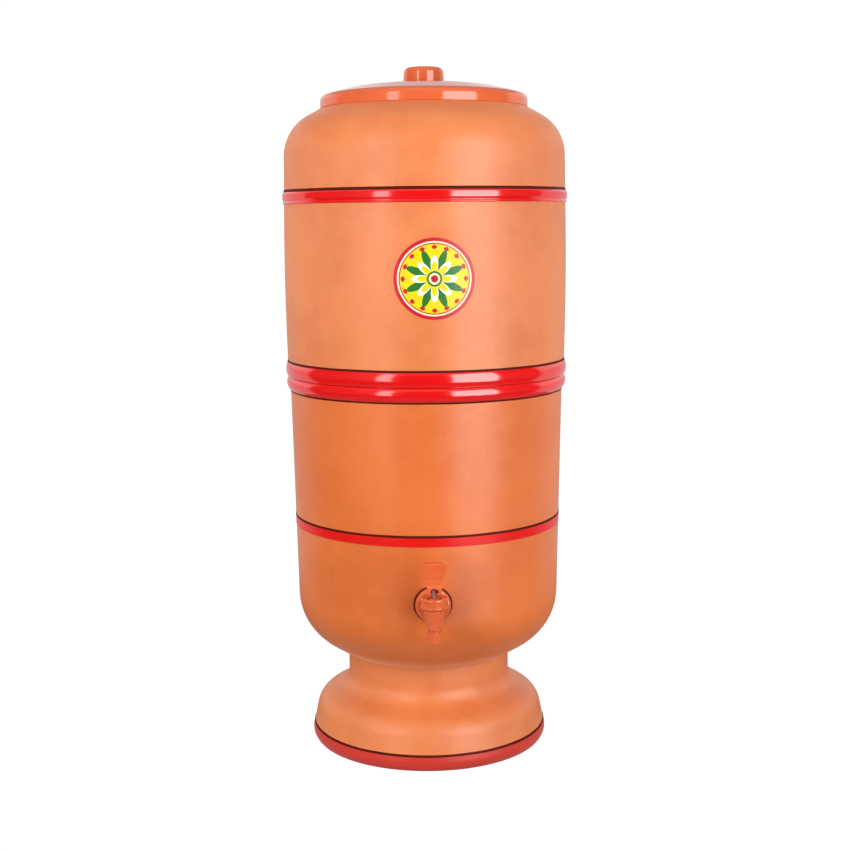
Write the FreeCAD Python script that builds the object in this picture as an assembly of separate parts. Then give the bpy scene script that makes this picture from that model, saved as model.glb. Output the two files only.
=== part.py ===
import FreeCAD, Part
import math
import os

# Gravity-fed clay water filter: an upper vessel with two ceramic candles stands on a
# lower vessel with a lever tap.  Millimetres, +Z up, the tap faces -Y, and the origin
# is the centre of the ring that the foot stands on.

# ---------------------------------------------------------------- driving sizes: clay
clay_wall = 11.0
body_radius = 121.2
foot_height = 79.5
foot_neck_radius = 71.0
foot_throat_height = 50.3
foot_throat_blend = 16.0
foot_radius = 104.1
foot_flare_inset = 6.7
foot_flare_height = 37.4
foot_flare_blend = 20.0
foot_heel_height = 5.0
foot_heel_blend = 9.8
foot_base_inset = 3.5

lower_height = 244.6
lower_floor_overhang = 2.8
lower_belly_inset = 4.4
lower_belly_rise = 24.6
lower_belly_blend = 50.0
lower_rim_inset = 1.5

upper_height = 225.3
upper_base_inset = 1.8
upper_belly_rise = 85.0
upper_belly_blend = 2500.0
shoulder_inset = 2.1
shoulder_drop = 17.1
shoulder_blend = 38.6
mouth_rim_radius = 87.4
mouth_rim_blend = 0.8
upper_floor = 14.0
upper_floor_blend = 12.0
nest_depth = 12.0
nest_clearance = 1.5

# ------------------------------------------------------- driving sizes: bands and label
shoulder_band_drop = 69.9
shoulder_band_width = 11.0
shoulder_band_crown = 1.6
bead_width = 12.4
upper_bead_crown = 2.0
lower_bead_crown = 3.2
belt_rise = 115.0
belt_width = 8.0
foot_stripe_width = 13.0
paint_coat = 0.3
band_root = 2.0
label_radius = 32.0
label_rise = 85.9
label_turn = 1.55
label_thickness = 0.4

# ------------------------------------------------------------------ driving sizes: lid
lid_wall = 3.0
lid_overhang = 0.6
lid_edge_height = 9.4
lid_edge_blend = 7.5
lid_crown_height = 21.0
lid_crown_radius = 35.0
lid_crown_blend = 80.0
lid_spigot_depth = 10.0
lid_spigot_clearance = 1.8
knob_seat_radius = 19.0
knob_seat_step = 0.6
knob_radius = 17.3
knob_draft = 0.7
knob_height = 13.0
knob_crown = 1.3
knob_edge_blend = 4.5
knob_wall = 2.6
knob_boss_radius = 5.5
knob_screw_radius = 2.0
knob_screw_length = 9.0
knob_screw_head_radius = 4.0
knob_screw_head_height = 2.4
knob_washer_radius = 6.5
knob_washer_thickness = 1.2
screw_tip_room = 1.0
thread_clearance = 0.05

# -------------------------------------------------------------- driving sizes: candles
candle_spacing = 76.0
candle_radius = 26.0
candle_height = 105.0
candle_wall = 7.0
candle_dome_blend = 25.0
carbon_height = 60.0
carbon_clearance = 0.2
candle_cup_wall = 2.8
candle_cup_height = 12.0
candle_cup_floor = 3.5
candle_fit_clearance = 0.1
candle_stem_radius = 6.0
candle_stem_bore = 2.5
candle_stem_reach = 30.0
candle_thread_pitch = 2.5
candle_thread_depth = 0.8
candle_hole_clearance = 1.0
candle_gasket_radius = 20.0
candle_gasket_thickness = 3.0
candle_washer_radius = 16.0
candle_washer_thickness = 2.5
wing_nut_radius = 10.0
wing_nut_height = 10.0
wing_nut_span = 38.0
wing_nut_wing = 4.0

# ---------------------------------------------------------- driving sizes: float valves
valve_radius = 10.0
valve_socket_depth = 10.0
valve_floor = 10.0
valve_lip_radius = 3.2
valve_lip_height = 2.0
valve_orifice_radius = 1.5
valve_lug_thickness = 2.5
valve_lug_margin = 3.4
valve_lug_root = 8.0
valve_edge_blend = 1.0
float_pin_radius = 1.5
float_pin_offset = 12.5
float_pad_radius = 4.5
float_pad_thickness = 2.0
float_close_gap = 0.3
float_arm_width = 7.0
float_arm_thickness = 4.0
float_arm_length = 50.0
float_hub_radius = 3.4
float_side_clearance = 0.4
float_bulb_radius = 13.0
float_bulb_length = 34.0
float_bulb_blend = 6.0
float_plug_depth = 6.0
float_droop = 22.0
pin_clearance = 0.05

# ------------------------------------------------------------------ driving sizes: tap
tap_rise = 67.7
tap_reach = 29.0
tap_spot_depth = 1.2
tap_spot_margin = 1.1
tap_inner_spot_depth = 0.3
tap_shank_radius = 7.5
tap_hole_clearance = 1.0
tap_thread_pitch = 2.0
tap_thread_depth = 0.7
tap_bore_radius = 2.5
tap_gasket_margin = 2.15
tap_gasket_thickness = 3.0
tap_flange_radius = 13.75
tap_flange_thickness = 4.5
tap_flange_blend = 1.8
tap_neck_radius = 6.5
tap_nut_across_flats = 24.0
tap_nut_thickness = 7.0
tap_nut_chamfer = 1.0
tap_shank_end = 3.0
tap_inner_gasket_radius = 14.0
barrel_top_radius = 8.65
barrel_foot_radius = 6.1
barrel_foot_drop = 12.7
barrel_collar_rise = 3.5
barrel_thread_radius = 8.1
barrel_thread_height = 6.0
barrel_edge_blend = 0.6
nozzle_radius = 5.35
nozzle_length = 11.0
nozzle_wall = 1.9
chamber_top_radius = 6.2
chamber_foot_radius = 4.9
seat_drop = 9.2
bonnet_radius = 10.9
bonnet_height = 10.3
bonnet_room = 0.4
bonnet_lip_radius = 8.9
bonnet_lip_height = 2.6
bonnet_top_blend = 1.2
bonnet_roof = 3.2
bonnet_panel_count = 8
bonnet_panel_depth = 0.55
bonnet_panel_margin = 1.5
bonnet_rib_angle = 11.0
bonnet_panel_turn = 7.5
stem_radius = 2.0
stem_clearance = 0.05
stem_knob_radius = 2.8
stem_knob_height = 2.6
stem_head_rise = 2.6
cup_plug_clearance = 0.7
cup_skirt_clearance = 0.9
cup_wall = 1.0
cup_floor = 2.0
cup_cap = 1.8
pin_radius = 1.0
pin_recess = 0.2

lever_swing = 75.0
stem_travel = 3.9
cam_radius = 6.0
cam_gap = 0.2
fork_width = 11.6
fork_slot_width = 6.6
fork_slot_rise = 5.0
fork_slot_blend = 2.9
lever_waist_rise = 6.0
lever_waist_blend = 14.0
lever_length = 23.8
lever_top_width = 22.0
lever_top_blend = 2.4
lever_top_crown = 0.8
lever_root_thickness = 6.0
lever_tip_thickness = 4.4
lever_lean = 0.6
lever_edge_blend = 1.0
thumb_ridge_count = 4
thumb_ridge_pitch = 2.6
thumb_ridge_margin = 3.2
thumb_groove_radius = 0.9
thumb_groove_depth = 0.45

# --------------------------------------------------------------------- derived places
V = FreeCAD.Vector
UP = V(0, 0, 1)
FRONT = V(0, -1, 0)
SIDE = V(1, 0, 0)
FRONT_AZIMUTH = -90

upper_base_radius = body_radius - upper_base_inset
shoulder_radius = body_radius - shoulder_inset
lower_rim_radius = upper_base_radius - lower_rim_inset
lower_belly_radius = lower_rim_radius - lower_belly_inset
lower_floor_radius = foot_neck_radius + lower_floor_overhang
foot_flare_radius = foot_radius - foot_flare_inset
foot_base_radius = foot_radius - foot_base_inset
lid_radius = mouth_rim_radius + lid_overhang
tap_gasket_radius = tap_flange_radius + tap_gasket_margin
tap_spot_radius = tap_gasket_radius + tap_spot_margin
cup_plug_radius = chamber_foot_radius - cup_plug_clearance
cup_skirt_radius = chamber_top_radius - cup_skirt_clearance

seam_z = foot_height + lower_height
mouth_z = seam_z + upper_height
lower_belly_z = foot_height + lower_belly_rise
upper_belly_z = seam_z + upper_belly_rise
shoulder_z = mouth_z - shoulder_drop
upper_underside_z = seam_z - nest_depth
upper_floor_z = upper_underside_z + upper_floor

candle_hole_radius = candle_stem_radius + candle_hole_clearance
candle_cup_radius = candle_radius + candle_fit_clearance + candle_cup_wall
candle_base_z = upper_floor_z + candle_gasket_thickness
candle_foot_z = candle_base_z + candle_cup_floor
candle_stem_end_z = upper_underside_z - candle_stem_reach
washer_top_z = upper_underside_z
nut_top_z = washer_top_z - candle_washer_thickness

valve_foot_z = candle_stem_end_z - valve_floor
valve_lip_z = valve_foot_z - valve_lip_height
float_arm_top_z = valve_lip_z - float_close_gap - float_pad_thickness
float_pin_z = float_arm_top_z - float_arm_thickness / 2
float_pin_y = -float_pin_offset
float_gap_width = float_arm_width + 2 * float_side_clearance

tap_z = foot_height + tap_rise
lower_taper = (lower_rim_radius - lower_belly_radius) / (seam_z - lower_belly_z)
tap_wall_radius = lower_belly_radius + lower_taper * (tap_z - lower_belly_z)
tap_axis_reach = tap_wall_radius + tap_reach
tap_spot_reach = tap_wall_radius - tap_spot_depth
tap_inner_reach = tap_wall_radius - clay_wall + tap_inner_spot_depth
tap_flange_back = tap_spot_reach + tap_gasket_thickness
tap_flange_front = tap_flange_back + tap_flange_thickness
tap_nut_reach = tap_inner_reach - tap_gasket_thickness
tap_shank_reach = tap_nut_reach - tap_nut_thickness - tap_shank_end
barrel_collar_z = tap_z + barrel_collar_rise
barrel_top_z = barrel_collar_z + barrel_thread_height
barrel_foot_z = tap_z - barrel_foot_drop
nozzle_end_z = barrel_foot_z - nozzle_length
seat_z = tap_z - seat_drop
bonnet_top_z = barrel_collar_z + bonnet_height
bonnet_roof_z = bonnet_top_z - bonnet_roof
stem_foot_z = seat_z + cup_floor
cam_throw = stem_travel / (2 * math.sin(math.radians(lever_swing / 2)))
cam_forward = cam_throw * math.cos(math.radians(lever_swing / 2))
cam_rise = cam_throw * math.sin(math.radians(lever_swing / 2))
pin_z = bonnet_top_z + cam_gap + cam_radius - cam_rise


# ------------------------------------------------------------------- drawing functions
def on_radius(across, up):
    """Point of a half-section that is turned about the Z axis."""
    return V(across, 0, up)


def on_side(across, up):
    """Point of an outline seen along the X axis."""
    return V(0, across, up)


def corner_arc(before, corner, after, blend):
    """Start, middle and end of the arc that rounds a corner."""
    to_before = (before - corner).normalize()
    to_after = (after - corner).normalize()
    half = to_before.getAngle(to_after) / 2
    reach = blend / math.tan(half)
    middle = corner + (to_before + to_after).normalize() * (blend / math.sin(half) - blend)
    return corner + to_before * reach, middle, corner + to_after * reach


def outline_face(corners, place=on_radius):
    """Face inside a closed outline of (across, up, blend radius) corners."""
    points = [place(across, up) for across, up, blend in corners]
    stops = []
    for index, (across, up, blend) in enumerate(corners):
        if blend > 0:
            after = points[(index + 1) % len(points)]
            stops.append(corner_arc(points[index - 1], points[index], after, blend))
        else:
            stops.append([points[index]])
    edges = []
    for index, stop in enumerate(stops):
        if len(stop) > 1:
            edges.append(Part.Arc(*stop).toShape())
        following = stops[(index + 1) % len(stops)][0]
        edges.append(Part.LineSegment(stop[-1], following).toShape())
    return Part.Face(Part.Wire(edges))


def offset_path(corners, distance):
    """The same path moved to its left by a distance, with its blends kept concentric."""
    points = [V(across, up, 0) for across, up, blend in corners]
    headings = [(b - a).normalize() for a, b in zip(points, points[1:])]
    normals = [V(-heading.y, heading.x, 0) for heading in headings]
    first, last = points[0] + normals[0] * distance, points[-1] + normals[-1] * distance
    moved = [(first.x, first.y, 0)]
    for index in range(1, len(points) - 1):
        before, after = normals[index - 1], normals[index]
        point = points[index] + (before + after) * (distance / (1 + before.dot(after)))
        left_turn = headings[index - 1].cross(headings[index]).z > 0
        blend = corners[index][2] - (distance if left_turn else -distance)
        moved.append((point.x, point.y, max(blend, 0)))
    return moved + [(last.x, last.y, 0)]


def turned(corners):
    """Solid turned about the Z axis from a half-section."""
    return outline_face(corners).revolve(V(0, 0, 0), UP, 360)


def turned_front(corners, height):
    """Solid turned about the axis that points to the front at a height.

    The second number of a corner is the distance forward of the Z axis.
    """
    solid = turned(corners)
    solid.Placement = FreeCAD.Placement(V(0, 0, height), FreeCAD.Rotation(UP, FRONT))
    return solid


def disc(radius, bottom, top, bore=0):
    """Upright disc, or a ring where it has a bore."""
    return turned([(bore, bottom, 0), (radius, bottom, 0), (radius, top, 0), (bore, top, 0)])


def rod(radius, length, centre, direction):
    """Cylinder centred on a point."""
    start = centre - direction * (length / 2)
    return Part.makeCylinder(radius, length, start, direction)


def block(width, depth, height, centre):
    """Box centred on a point."""
    corner = centre - V(width, depth, height) / 2
    return Part.makeBox(width, depth, height, corner)


def thread_teeth(crest, depth, pitch, start, end):
    """Corners of ring-shaped thread teeth between two stations."""
    count = int(abs(end - start) / pitch)
    step = (end - start) / count
    teeth = []
    for index in range(count):
        root = start + index * step
        teeth.append((crest - depth, root, 0))
        teeth.append((crest, root + step / 3, 0))
        teeth.append((crest, root + 2 * step / 3, 0))
    return teeth + [(crest - depth, end, 0)]


# --------------------------------------------------------------------------- clay body
def lower_outer_path():
    """Outer section of the lower vessel, from the axis up to its rim."""
    return [
        (0, foot_height, 0),
        (lower_floor_radius, foot_height, 0),
        (lower_belly_radius, lower_belly_z, lower_belly_blend),
        (lower_rim_radius, seam_z, 0),
    ]


def upper_outer_path():
    """Outer section of the upper vessel, from its seat up to the mouth."""
    return [
        (upper_base_radius, seam_z, 0),
        (body_radius, upper_belly_z, upper_belly_blend),
        (shoulder_radius, shoulder_z, shoulder_blend),
        (mouth_rim_radius, mouth_z, 0),
    ]


def foot_outer_path():
    """Outer section of the foot, from its neck down to the floor."""
    return [
        (foot_neck_radius, foot_height, 0),
        (foot_neck_radius, foot_throat_height, foot_throat_blend),
        (foot_flare_radius, foot_flare_height, foot_flare_blend),
        (foot_radius, foot_heel_height, foot_heel_blend),
        (foot_base_radius, 0, 0),
    ]


def pedestal_foot():
    """Thrown foot, open below and closed above by the vessel's floor."""
    body = turned([(0, foot_height, 0)] + foot_outer_path() + [(0, 0, 0)])
    inner = offset_path(foot_outer_path()[:3] + [(foot_radius, 0, 0)], -clay_wall)
    inner_end = inner[-1][1]
    hollow = turned([(0, foot_height, 0)] + inner + [(0, inner_end, 0)])
    return body.cut(hollow)


def tap_hole_tool():
    """Tool that faces the wall flat round the tap hole, inside and outside."""
    hole = tap_shank_radius + tap_hole_clearance
    far = tap_axis_reach
    outer = turned_front(
        [(0, tap_spot_reach, 0), (tap_spot_radius, tap_spot_reach, 0),
         (tap_spot_radius, far, 0), (0, far, 0)], tap_z)
    inner = turned_front(
        [(0, tap_shank_reach, 0), (tap_spot_radius, tap_shank_reach, 0),
         (tap_spot_radius, tap_inner_reach, 0), (0, tap_inner_reach, 0)], tap_z)
    bore = turned_front(
        [(0, tap_shank_reach, 0), (hole, tap_shank_reach, 0), (hole, far, 0), (0, far, 0)],
        tap_z)
    return outer.fuse([inner, bore])


def lower_vessel():
    """Lower vessel that holds the filtered water, with its tap hole."""
    path = lower_outer_path()
    body = turned(path + [(0, seam_z, 0)])
    inner = offset_path(path, clay_wall)
    hollow = turned(inner + [(0, inner[-1][1], 0)])
    return body.cut(hollow).cut(tap_hole_tool())


def upper_vessel():
    """Upper vessel: its floor nests in the lower rim and has a hole for each candle."""
    nest_radius = lower_rim_radius - clay_wall - nest_clearance
    path = upper_outer_path()
    rim = (mouth_rim_radius, mouth_z, mouth_rim_blend)
    body = turned(
        [(0, upper_underside_z, 0), (nest_radius, upper_underside_z, 0),
         (nest_radius, seam_z, 0)] + path[:-1] + [rim, (0, mouth_z, 0)])
    inner = offset_path(path, clay_wall)
    base_radius = inner[0][0]
    mouth_radius = inner[-1][0]
    above = mouth_z + clay_wall
    hollow = turned(
        [(0, upper_floor_z, 0), (base_radius, upper_floor_z, upper_floor_blend)] + inner[1:]
        + [(mouth_radius, above, 0), (0, above, 0)])
    body = body.cut(hollow)
    for x in candle_places().values():
        hole = rod(candle_hole_radius, 4 * upper_floor, V(x, 0, upper_floor_z), UP)
        body = body.cut(hole)
    return body


def mouth_radius():
    """Inside radius of the upper vessel's mouth."""
    return offset_path(upper_outer_path(), clay_wall)[-1][0]


# ---------------------------------------------------------------------- bands and label
def upper_wall_radius(z):
    """Outer radius of the upper vessel between its seat and the shoulder."""
    if z < upper_belly_z:
        share = (z - seam_z) / upper_belly_rise
        return upper_base_radius + share * (body_radius - upper_base_radius)
    share = (z - upper_belly_z) / (shoulder_z - upper_belly_z)
    return body_radius + share * (shoulder_radius - body_radius)


def lower_wall_radius(z):
    """Outer radius of the lower vessel above its belly."""
    return lower_belly_radius + lower_taper * (z - lower_belly_z)


def crowned_ring(wall, bottom, width, crown):
    """Ring of rolled clay with a rounded face that stands proud of a wall."""
    top = bottom + width
    low, high = wall(bottom), wall(top)
    middle = V((low + high) / 2 + crown, 0, bottom + width / 2)
    start, end = V(low, 0, bottom), V(high, 0, top)
    back_low, back_high = V(low - band_root, 0, bottom), V(high - band_root, 0, top)
    edges = [
        Part.Arc(start, middle, end).toShape(),
        Part.LineSegment(end, back_high).toShape(),
        Part.LineSegment(back_high, back_low).toShape(),
        Part.LineSegment(back_low, start).toShape(),
    ]
    return Part.Face(Part.Wire(edges)).revolve(V(0, 0, 0), UP, 360)


def skin(path, thickness):
    """Thin layer on the outside of an outer path that runs upwards."""
    return turned(offset_path(path, -thickness) + list(reversed(path)))


def painted_ring(path, bottom, width):
    """Coat of enamel on an outer path over a stretch of its height."""
    return skin(path, paint_coat).common(disc(2 * lower_rim_radius, bottom, bottom + width))


def front_label():
    """Round transfer label on the front of the upper vessel."""
    turn = math.radians(label_turn)
    outward = V(math.sin(turn), -math.cos(turn), 0)
    centre = outward * body_radius + V(0, 0, seam_z + label_rise)
    cutter = rod(label_radius, body_radius, centre, outward)
    return skin(upper_outer_path(), label_thickness).common(cutter)


# --------------------------------------------------------------------------------- lid
def lid_top_path():
    """Upper surface of the lid, from the knob's seat out to the skirt's foot."""
    crown_z = mouth_z + lid_crown_height
    return [
        (0, crown_z, 0),
        (lid_crown_radius, crown_z, lid_crown_blend),
        (lid_radius, mouth_z + lid_edge_height, lid_edge_blend),
        (lid_radius, mouth_z, 0),
    ]


def lid():
    """Moulded lid: a shallow dome whose skirt stands on the clay rim."""
    top = lid_top_path()
    body = turned(top + [(0, mouth_z, 0)])
    under = offset_path(top, -lid_wall)
    body = body.cut(turned(under + [(0, under[-1][1], 0)]))
    spigot_radius = mouth_radius() - lid_spigot_clearance
    spigot_foot = mouth_z - lid_spigot_depth
    spigot = disc(spigot_radius, spigot_foot, mouth_z + lid_crown_height,
                  bore=spigot_radius - lid_wall)
    dome = turned(top + [(0, mouth_z, 0)])
    below = disc(lid_radius, spigot_foot, mouth_z)
    body = body.fuse(spigot.common(dome.fuse(below)))
    seat = disc(knob_seat_radius, mouth_z + lid_crown_height - lid_wall, knob_seat_z())
    hole = rod(knob_screw_radius + thread_clearance, 4 * lid_crown_height,
               V(0, 0, knob_seat_z()), UP)
    return body.fuse(seat).cut(hole).removeSplitter()


def knob_seat_z():
    """Height of the flat seat under the knob."""
    return mouth_z + lid_crown_height + knob_seat_step


def knob_screw_top_z():
    """Height of the screw's tip inside the knob."""
    return knob_seat_z() + knob_screw_length


def lid_knob():
    """Hollow knob with a centre boss that takes the screw."""
    foot = knob_seat_z()
    top = foot + knob_height
    edge = top - knob_crown
    body = turned([
        (0, foot, 0), (knob_radius, foot, 0),
        (knob_radius - knob_draft, edge, knob_edge_blend), (0, top, 0),
    ])
    room = disc(knob_radius - knob_draft - knob_wall, foot, edge - knob_wall,
                bore=knob_boss_radius)
    bore = disc(knob_screw_radius + thread_clearance, foot, knob_screw_top_z() + screw_tip_room)
    return body.cut(room).cut(bore)


def lid_underside_z():
    """Height of the lid's underside at its centre."""
    return mouth_z + lid_crown_height - lid_wall


def lid_knob_washer():
    """Washer between the lid and the screw's head."""
    top = lid_underside_z()
    return disc(knob_washer_radius, top - knob_washer_thickness, top,
                bore=knob_screw_radius + thread_clearance)


def lid_knob_screw():
    """Screw that holds the knob from inside the lid."""
    head_top = lid_underside_z() - knob_washer_thickness
    head = disc(knob_screw_head_radius, head_top - knob_screw_head_height, head_top)
    shaft = disc(knob_screw_radius, head_top, knob_screw_top_z())
    slot = block(2 * knob_screw_head_radius, knob_screw_radius / 2, knob_screw_head_height,
                 V(0, 0, head_top - knob_screw_head_height))
    return head.fuse(shaft).cut(slot)


# ----------------------------------------------------------------------------- candles
def candle_places():
    """The X position of each candle."""
    return {"left": -candle_spacing / 2, "right": candle_spacing / 2}


def candle_shell():
    """Domed ceramic candle, closed above."""
    top = candle_foot_z + candle_height
    core = candle_radius - candle_wall
    outer = turned([
        (0, candle_foot_z, 0), (candle_radius, candle_foot_z, 0),
        (candle_radius, top, candle_dome_blend), (0, top, 0),
    ])
    inner_top = top - candle_wall
    inner = turned([
        (0, candle_foot_z, 0), (core, candle_foot_z, 0),
        (core, inner_top, candle_dome_blend - candle_wall), (0, inner_top, 0),
    ])
    return outer.cut(inner)


def candle_carbon():
    """Block of carbon inside the candle."""
    radius = candle_radius - candle_wall - carbon_clearance
    return disc(radius, candle_foot_z, candle_foot_z + carbon_height)


def candle_base():
    """Plastic cup that holds the candle, with its threaded stem."""
    cup = turned([
        (0, candle_base_z, 0), (candle_cup_radius, candle_base_z, 0),
        (candle_cup_radius, candle_base_z + candle_cup_height, 0),
        (candle_radius + candle_fit_clearance, candle_base_z + candle_cup_height, 0),
        (candle_radius + candle_fit_clearance, candle_foot_z, 0), (0, candle_foot_z, 0),
    ])
    teeth = thread_teeth(candle_stem_radius, candle_thread_depth, candle_thread_pitch,
                         upper_underside_z, candle_stem_end_z)
    stem = turned([(0, candle_base_z, 0), (candle_stem_radius, candle_base_z, 0),
                   (candle_stem_radius, upper_underside_z, 0)]
                  + teeth + [(0, candle_stem_end_z, 0)])
    bore = disc(candle_stem_bore, candle_stem_end_z, candle_foot_z)
    return cup.fuse(stem).cut(bore)


def candle_gasket():
    """Rubber ring between the candle's cup and the clay floor."""
    return disc(candle_gasket_radius, upper_floor_z, candle_base_z, bore=candle_stem_radius)


def candle_washer():
    """Washer under the clay floor."""
    return disc(candle_washer_radius, nut_top_z, washer_top_z,
                bore=candle_stem_radius + thread_clearance)


def wing_nut():
    """Wing nut that clamps a candle to the floor."""
    foot = nut_top_z - wing_nut_height
    hub = disc(wing_nut_radius, foot, nut_top_z)
    wings = block(wing_nut_span, wing_nut_wing, wing_nut_height,
                  V(0, 0, foot + wing_nut_height / 2))
    bore = disc(candle_stem_radius + thread_clearance, foot, nut_top_z)
    return hub.fuse(wings).cut(bore)


# ------------------------------------------------------------------------ float valves
def float_valve_body():
    """Valve body pushed on a candle's stem, with two lugs for the hinge pin."""
    top = candle_stem_end_z + valve_socket_depth
    body = turned([
        (0, valve_lip_z, 0), (valve_lip_radius, valve_lip_z, 0),
        (valve_lip_radius, valve_foot_z, 0), (valve_radius, valve_foot_z, 0),
        (valve_radius, top, valve_edge_blend), (0, top, 0),
    ])
    lug_foot = float_pin_z - valve_lug_margin
    lug_front = float_pin_y - valve_lug_margin
    lug_depth = valve_lug_margin + float_pin_offset - valve_lug_root / 2
    lug_height = valve_foot_z + valve_lug_root - lug_foot
    for side in (-1, 1):
        x = side * (float_gap_width + valve_lug_thickness) / 2
        centre = V(x, lug_front + lug_depth / 2, lug_foot + lug_height / 2)
        body = body.fuse(block(valve_lug_thickness, lug_depth, lug_height, centre))
    socket = disc(candle_stem_radius + thread_clearance, candle_stem_end_z, top)
    orifice = disc(valve_orifice_radius, valve_lip_z, candle_stem_end_z)
    pin_hole = rod(float_pin_radius, 4 * valve_radius, V(0, float_pin_y, float_pin_z), SIDE)
    return body.cut(socket).cut(orifice).cut(pin_hole)


def float_hinge_pin():
    """Pin through the two lugs of a valve body."""
    length = float_gap_width + 2 * valve_lug_thickness
    return rod(float_pin_radius, length, V(0, float_pin_y, float_pin_z), SIDE)


def hanging(solid):
    """A float part turned from its closed place down to where it hangs."""
    solid = solid.copy()
    solid.rotate(V(0, float_pin_y, float_pin_z), SIDE, -float_droop)
    return solid


def float_arm_closed():
    """Arm of a float in its closed place, level under the valve."""
    bar = block(float_arm_width, float_arm_length, float_arm_thickness,
                V(0, float_pin_y + float_arm_length / 2, float_pin_z))
    hub = rod(float_hub_radius, float_arm_width, V(0, float_pin_y, float_pin_z), SIDE)
    bore = rod(float_pin_radius + pin_clearance, 2 * float_arm_width,
               V(0, float_pin_y, float_pin_z), SIDE)
    return bar.fuse(hub).cut(bore).removeSplitter()


def float_arm():
    """Arm that carries the float and presses the pad on the valve."""
    return hanging(float_arm_closed())


def float_pad():
    """Rubber pad that closes the valve."""
    return hanging(disc(float_pad_radius, float_arm_top_z, float_arm_top_z + float_pad_thickness))


def float_bulb():
    """Plastic float, plugged on the end of its arm."""
    half = float_bulb_length / 2
    drum = turned([
        (0, -half, 0), (float_bulb_radius, -half, float_bulb_blend),
        (float_bulb_radius, half, float_bulb_blend), (0, half, 0),
    ])
    y = float_pin_y + float_arm_length - float_plug_depth + float_bulb_radius
    drum.Placement = FreeCAD.Placement(V(0, y, float_pin_z), FreeCAD.Rotation(UP, SIDE))
    return hanging(drum.cut(float_arm_closed()))


# --------------------------------------------------------------------------------- tap
def at_tap(solid):
    """A solid moved from the Z axis to the tap's upright axis."""
    solid = solid.copy()
    solid.translate(FRONT * tap_axis_reach)
    return solid


def tap_ring(radius, start, thickness, bore):
    """Flat ring on the tap's shank."""
    end = start + thickness
    return turned_front([(bore, start, 0), (radius, start, 0), (radius, end, 0), (bore, end, 0)],
                        tap_z)


def tap_outer_gasket():
    """Dark rubber ring between the flange and the clay."""
    return tap_ring(tap_gasket_radius, tap_spot_reach, tap_gasket_thickness, tap_shank_radius)


def tap_inner_gasket():
    """Rubber ring between the clay and the lock nut."""
    return tap_ring(tap_inner_gasket_radius, tap_nut_reach, tap_gasket_thickness,
                    tap_shank_radius)


def tap_lock_nut():
    """Hexagon nut that clamps the tap from inside the vessel."""
    start = tap_nut_reach - tap_nut_thickness
    corner_radius = tap_nut_across_flats / math.sqrt(3)
    points = [V(corner_radius * math.cos(math.radians(60 * k)),
                corner_radius * math.sin(math.radians(60 * k)), start) for k in range(7)]
    prism = Part.Face(Part.makePolygon(points)).extrude(UP * tap_nut_thickness)
    prism.Placement = FreeCAD.Placement(V(0, 0, tap_z), FreeCAD.Rotation(UP, FRONT))
    rounding = turned_front([
        (0, start, 0), (corner_radius - tap_nut_chamfer, start, 0),
        (corner_radius, start + tap_nut_chamfer, 0), (corner_radius, tap_nut_reach, 0),
        (0, tap_nut_reach, 0),
    ], tap_z)
    bore = tap_ring(tap_shank_radius + thread_clearance, start, tap_nut_thickness, 0)
    return prism.common(rounding).cut(bore)


def tap_body():
    """Moulded tap body: threaded shank, flange, neck, barrel and nozzle."""
    teeth = thread_teeth(tap_shank_radius, tap_thread_depth, tap_thread_pitch,
                         tap_shank_reach, tap_inner_reach)
    spindle = turned_front(
        [(0, tap_shank_reach, 0)] + teeth + [
            (tap_shank_radius, tap_inner_reach, 0), (tap_shank_radius, tap_flange_back, 0),
            (tap_flange_radius, tap_flange_back, 0),
            (tap_flange_radius, tap_flange_front, tap_flange_blend),
            (tap_neck_radius, tap_flange_front, tap_flange_blend),
            (tap_neck_radius, tap_axis_reach, 0), (0, tap_axis_reach, 0),
        ], tap_z)
    barrel = at_tap(turned([
        (0, nozzle_end_z, 0), (nozzle_radius, nozzle_end_z, barrel_edge_blend),
        (nozzle_radius, barrel_foot_z, 0), (barrel_foot_radius, barrel_foot_z, barrel_edge_blend),
        (barrel_top_radius, barrel_collar_z, 0), (barrel_thread_radius, barrel_collar_z, 0),
        (barrel_thread_radius, barrel_top_z, 0), (0, barrel_top_z, 0),
    ]))
    outlet = nozzle_radius - nozzle_wall
    passage = at_tap(turned([
        (0, nozzle_end_z, 0), (outlet, nozzle_end_z, 0), (outlet, seat_z, 0),
        (chamber_foot_radius, seat_z, 0), (chamber_top_radius, barrel_top_z, 0),
        (0, barrel_top_z, 0),
    ]))
    inlet = tap_ring(tap_bore_radius, tap_shank_reach, tap_axis_reach - tap_shank_reach, 0)
    above_collar = at_tap(disc(bonnet_radius + bonnet_room, barrel_collar_z, bonnet_top_z))
    return spindle.cut(above_collar).fuse(barrel).cut(passage).cut(inlet)


def bonnet_panels():
    """Sunk grip panels round the bonnet, leaving narrow ribs between them."""
    low = barrel_collar_z + bonnet_lip_height + bonnet_panel_margin / 2
    high = bonnet_top_z - bonnet_top_blend - bonnet_panel_margin / 2
    inner = bonnet_radius - bonnet_panel_depth
    outer = bonnet_radius + bonnet_panel_depth
    pitch = 360 / bonnet_panel_count
    face = outline_face([(inner, low, 0), (outer, low, 0), (outer, high, 0), (inner, high, 0)])
    panels = []
    for index in range(bonnet_panel_count):
        panel = face.revolve(V(0, 0, 0), UP, pitch - bonnet_rib_angle)
        middle = FRONT_AZIMUTH + bonnet_panel_turn + index * pitch
        panel.rotate(V(0, 0, 0), UP, middle - (pitch - bonnet_rib_angle) / 2)
        panels.append(panel)
    return Part.makeCompound(panels)


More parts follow.
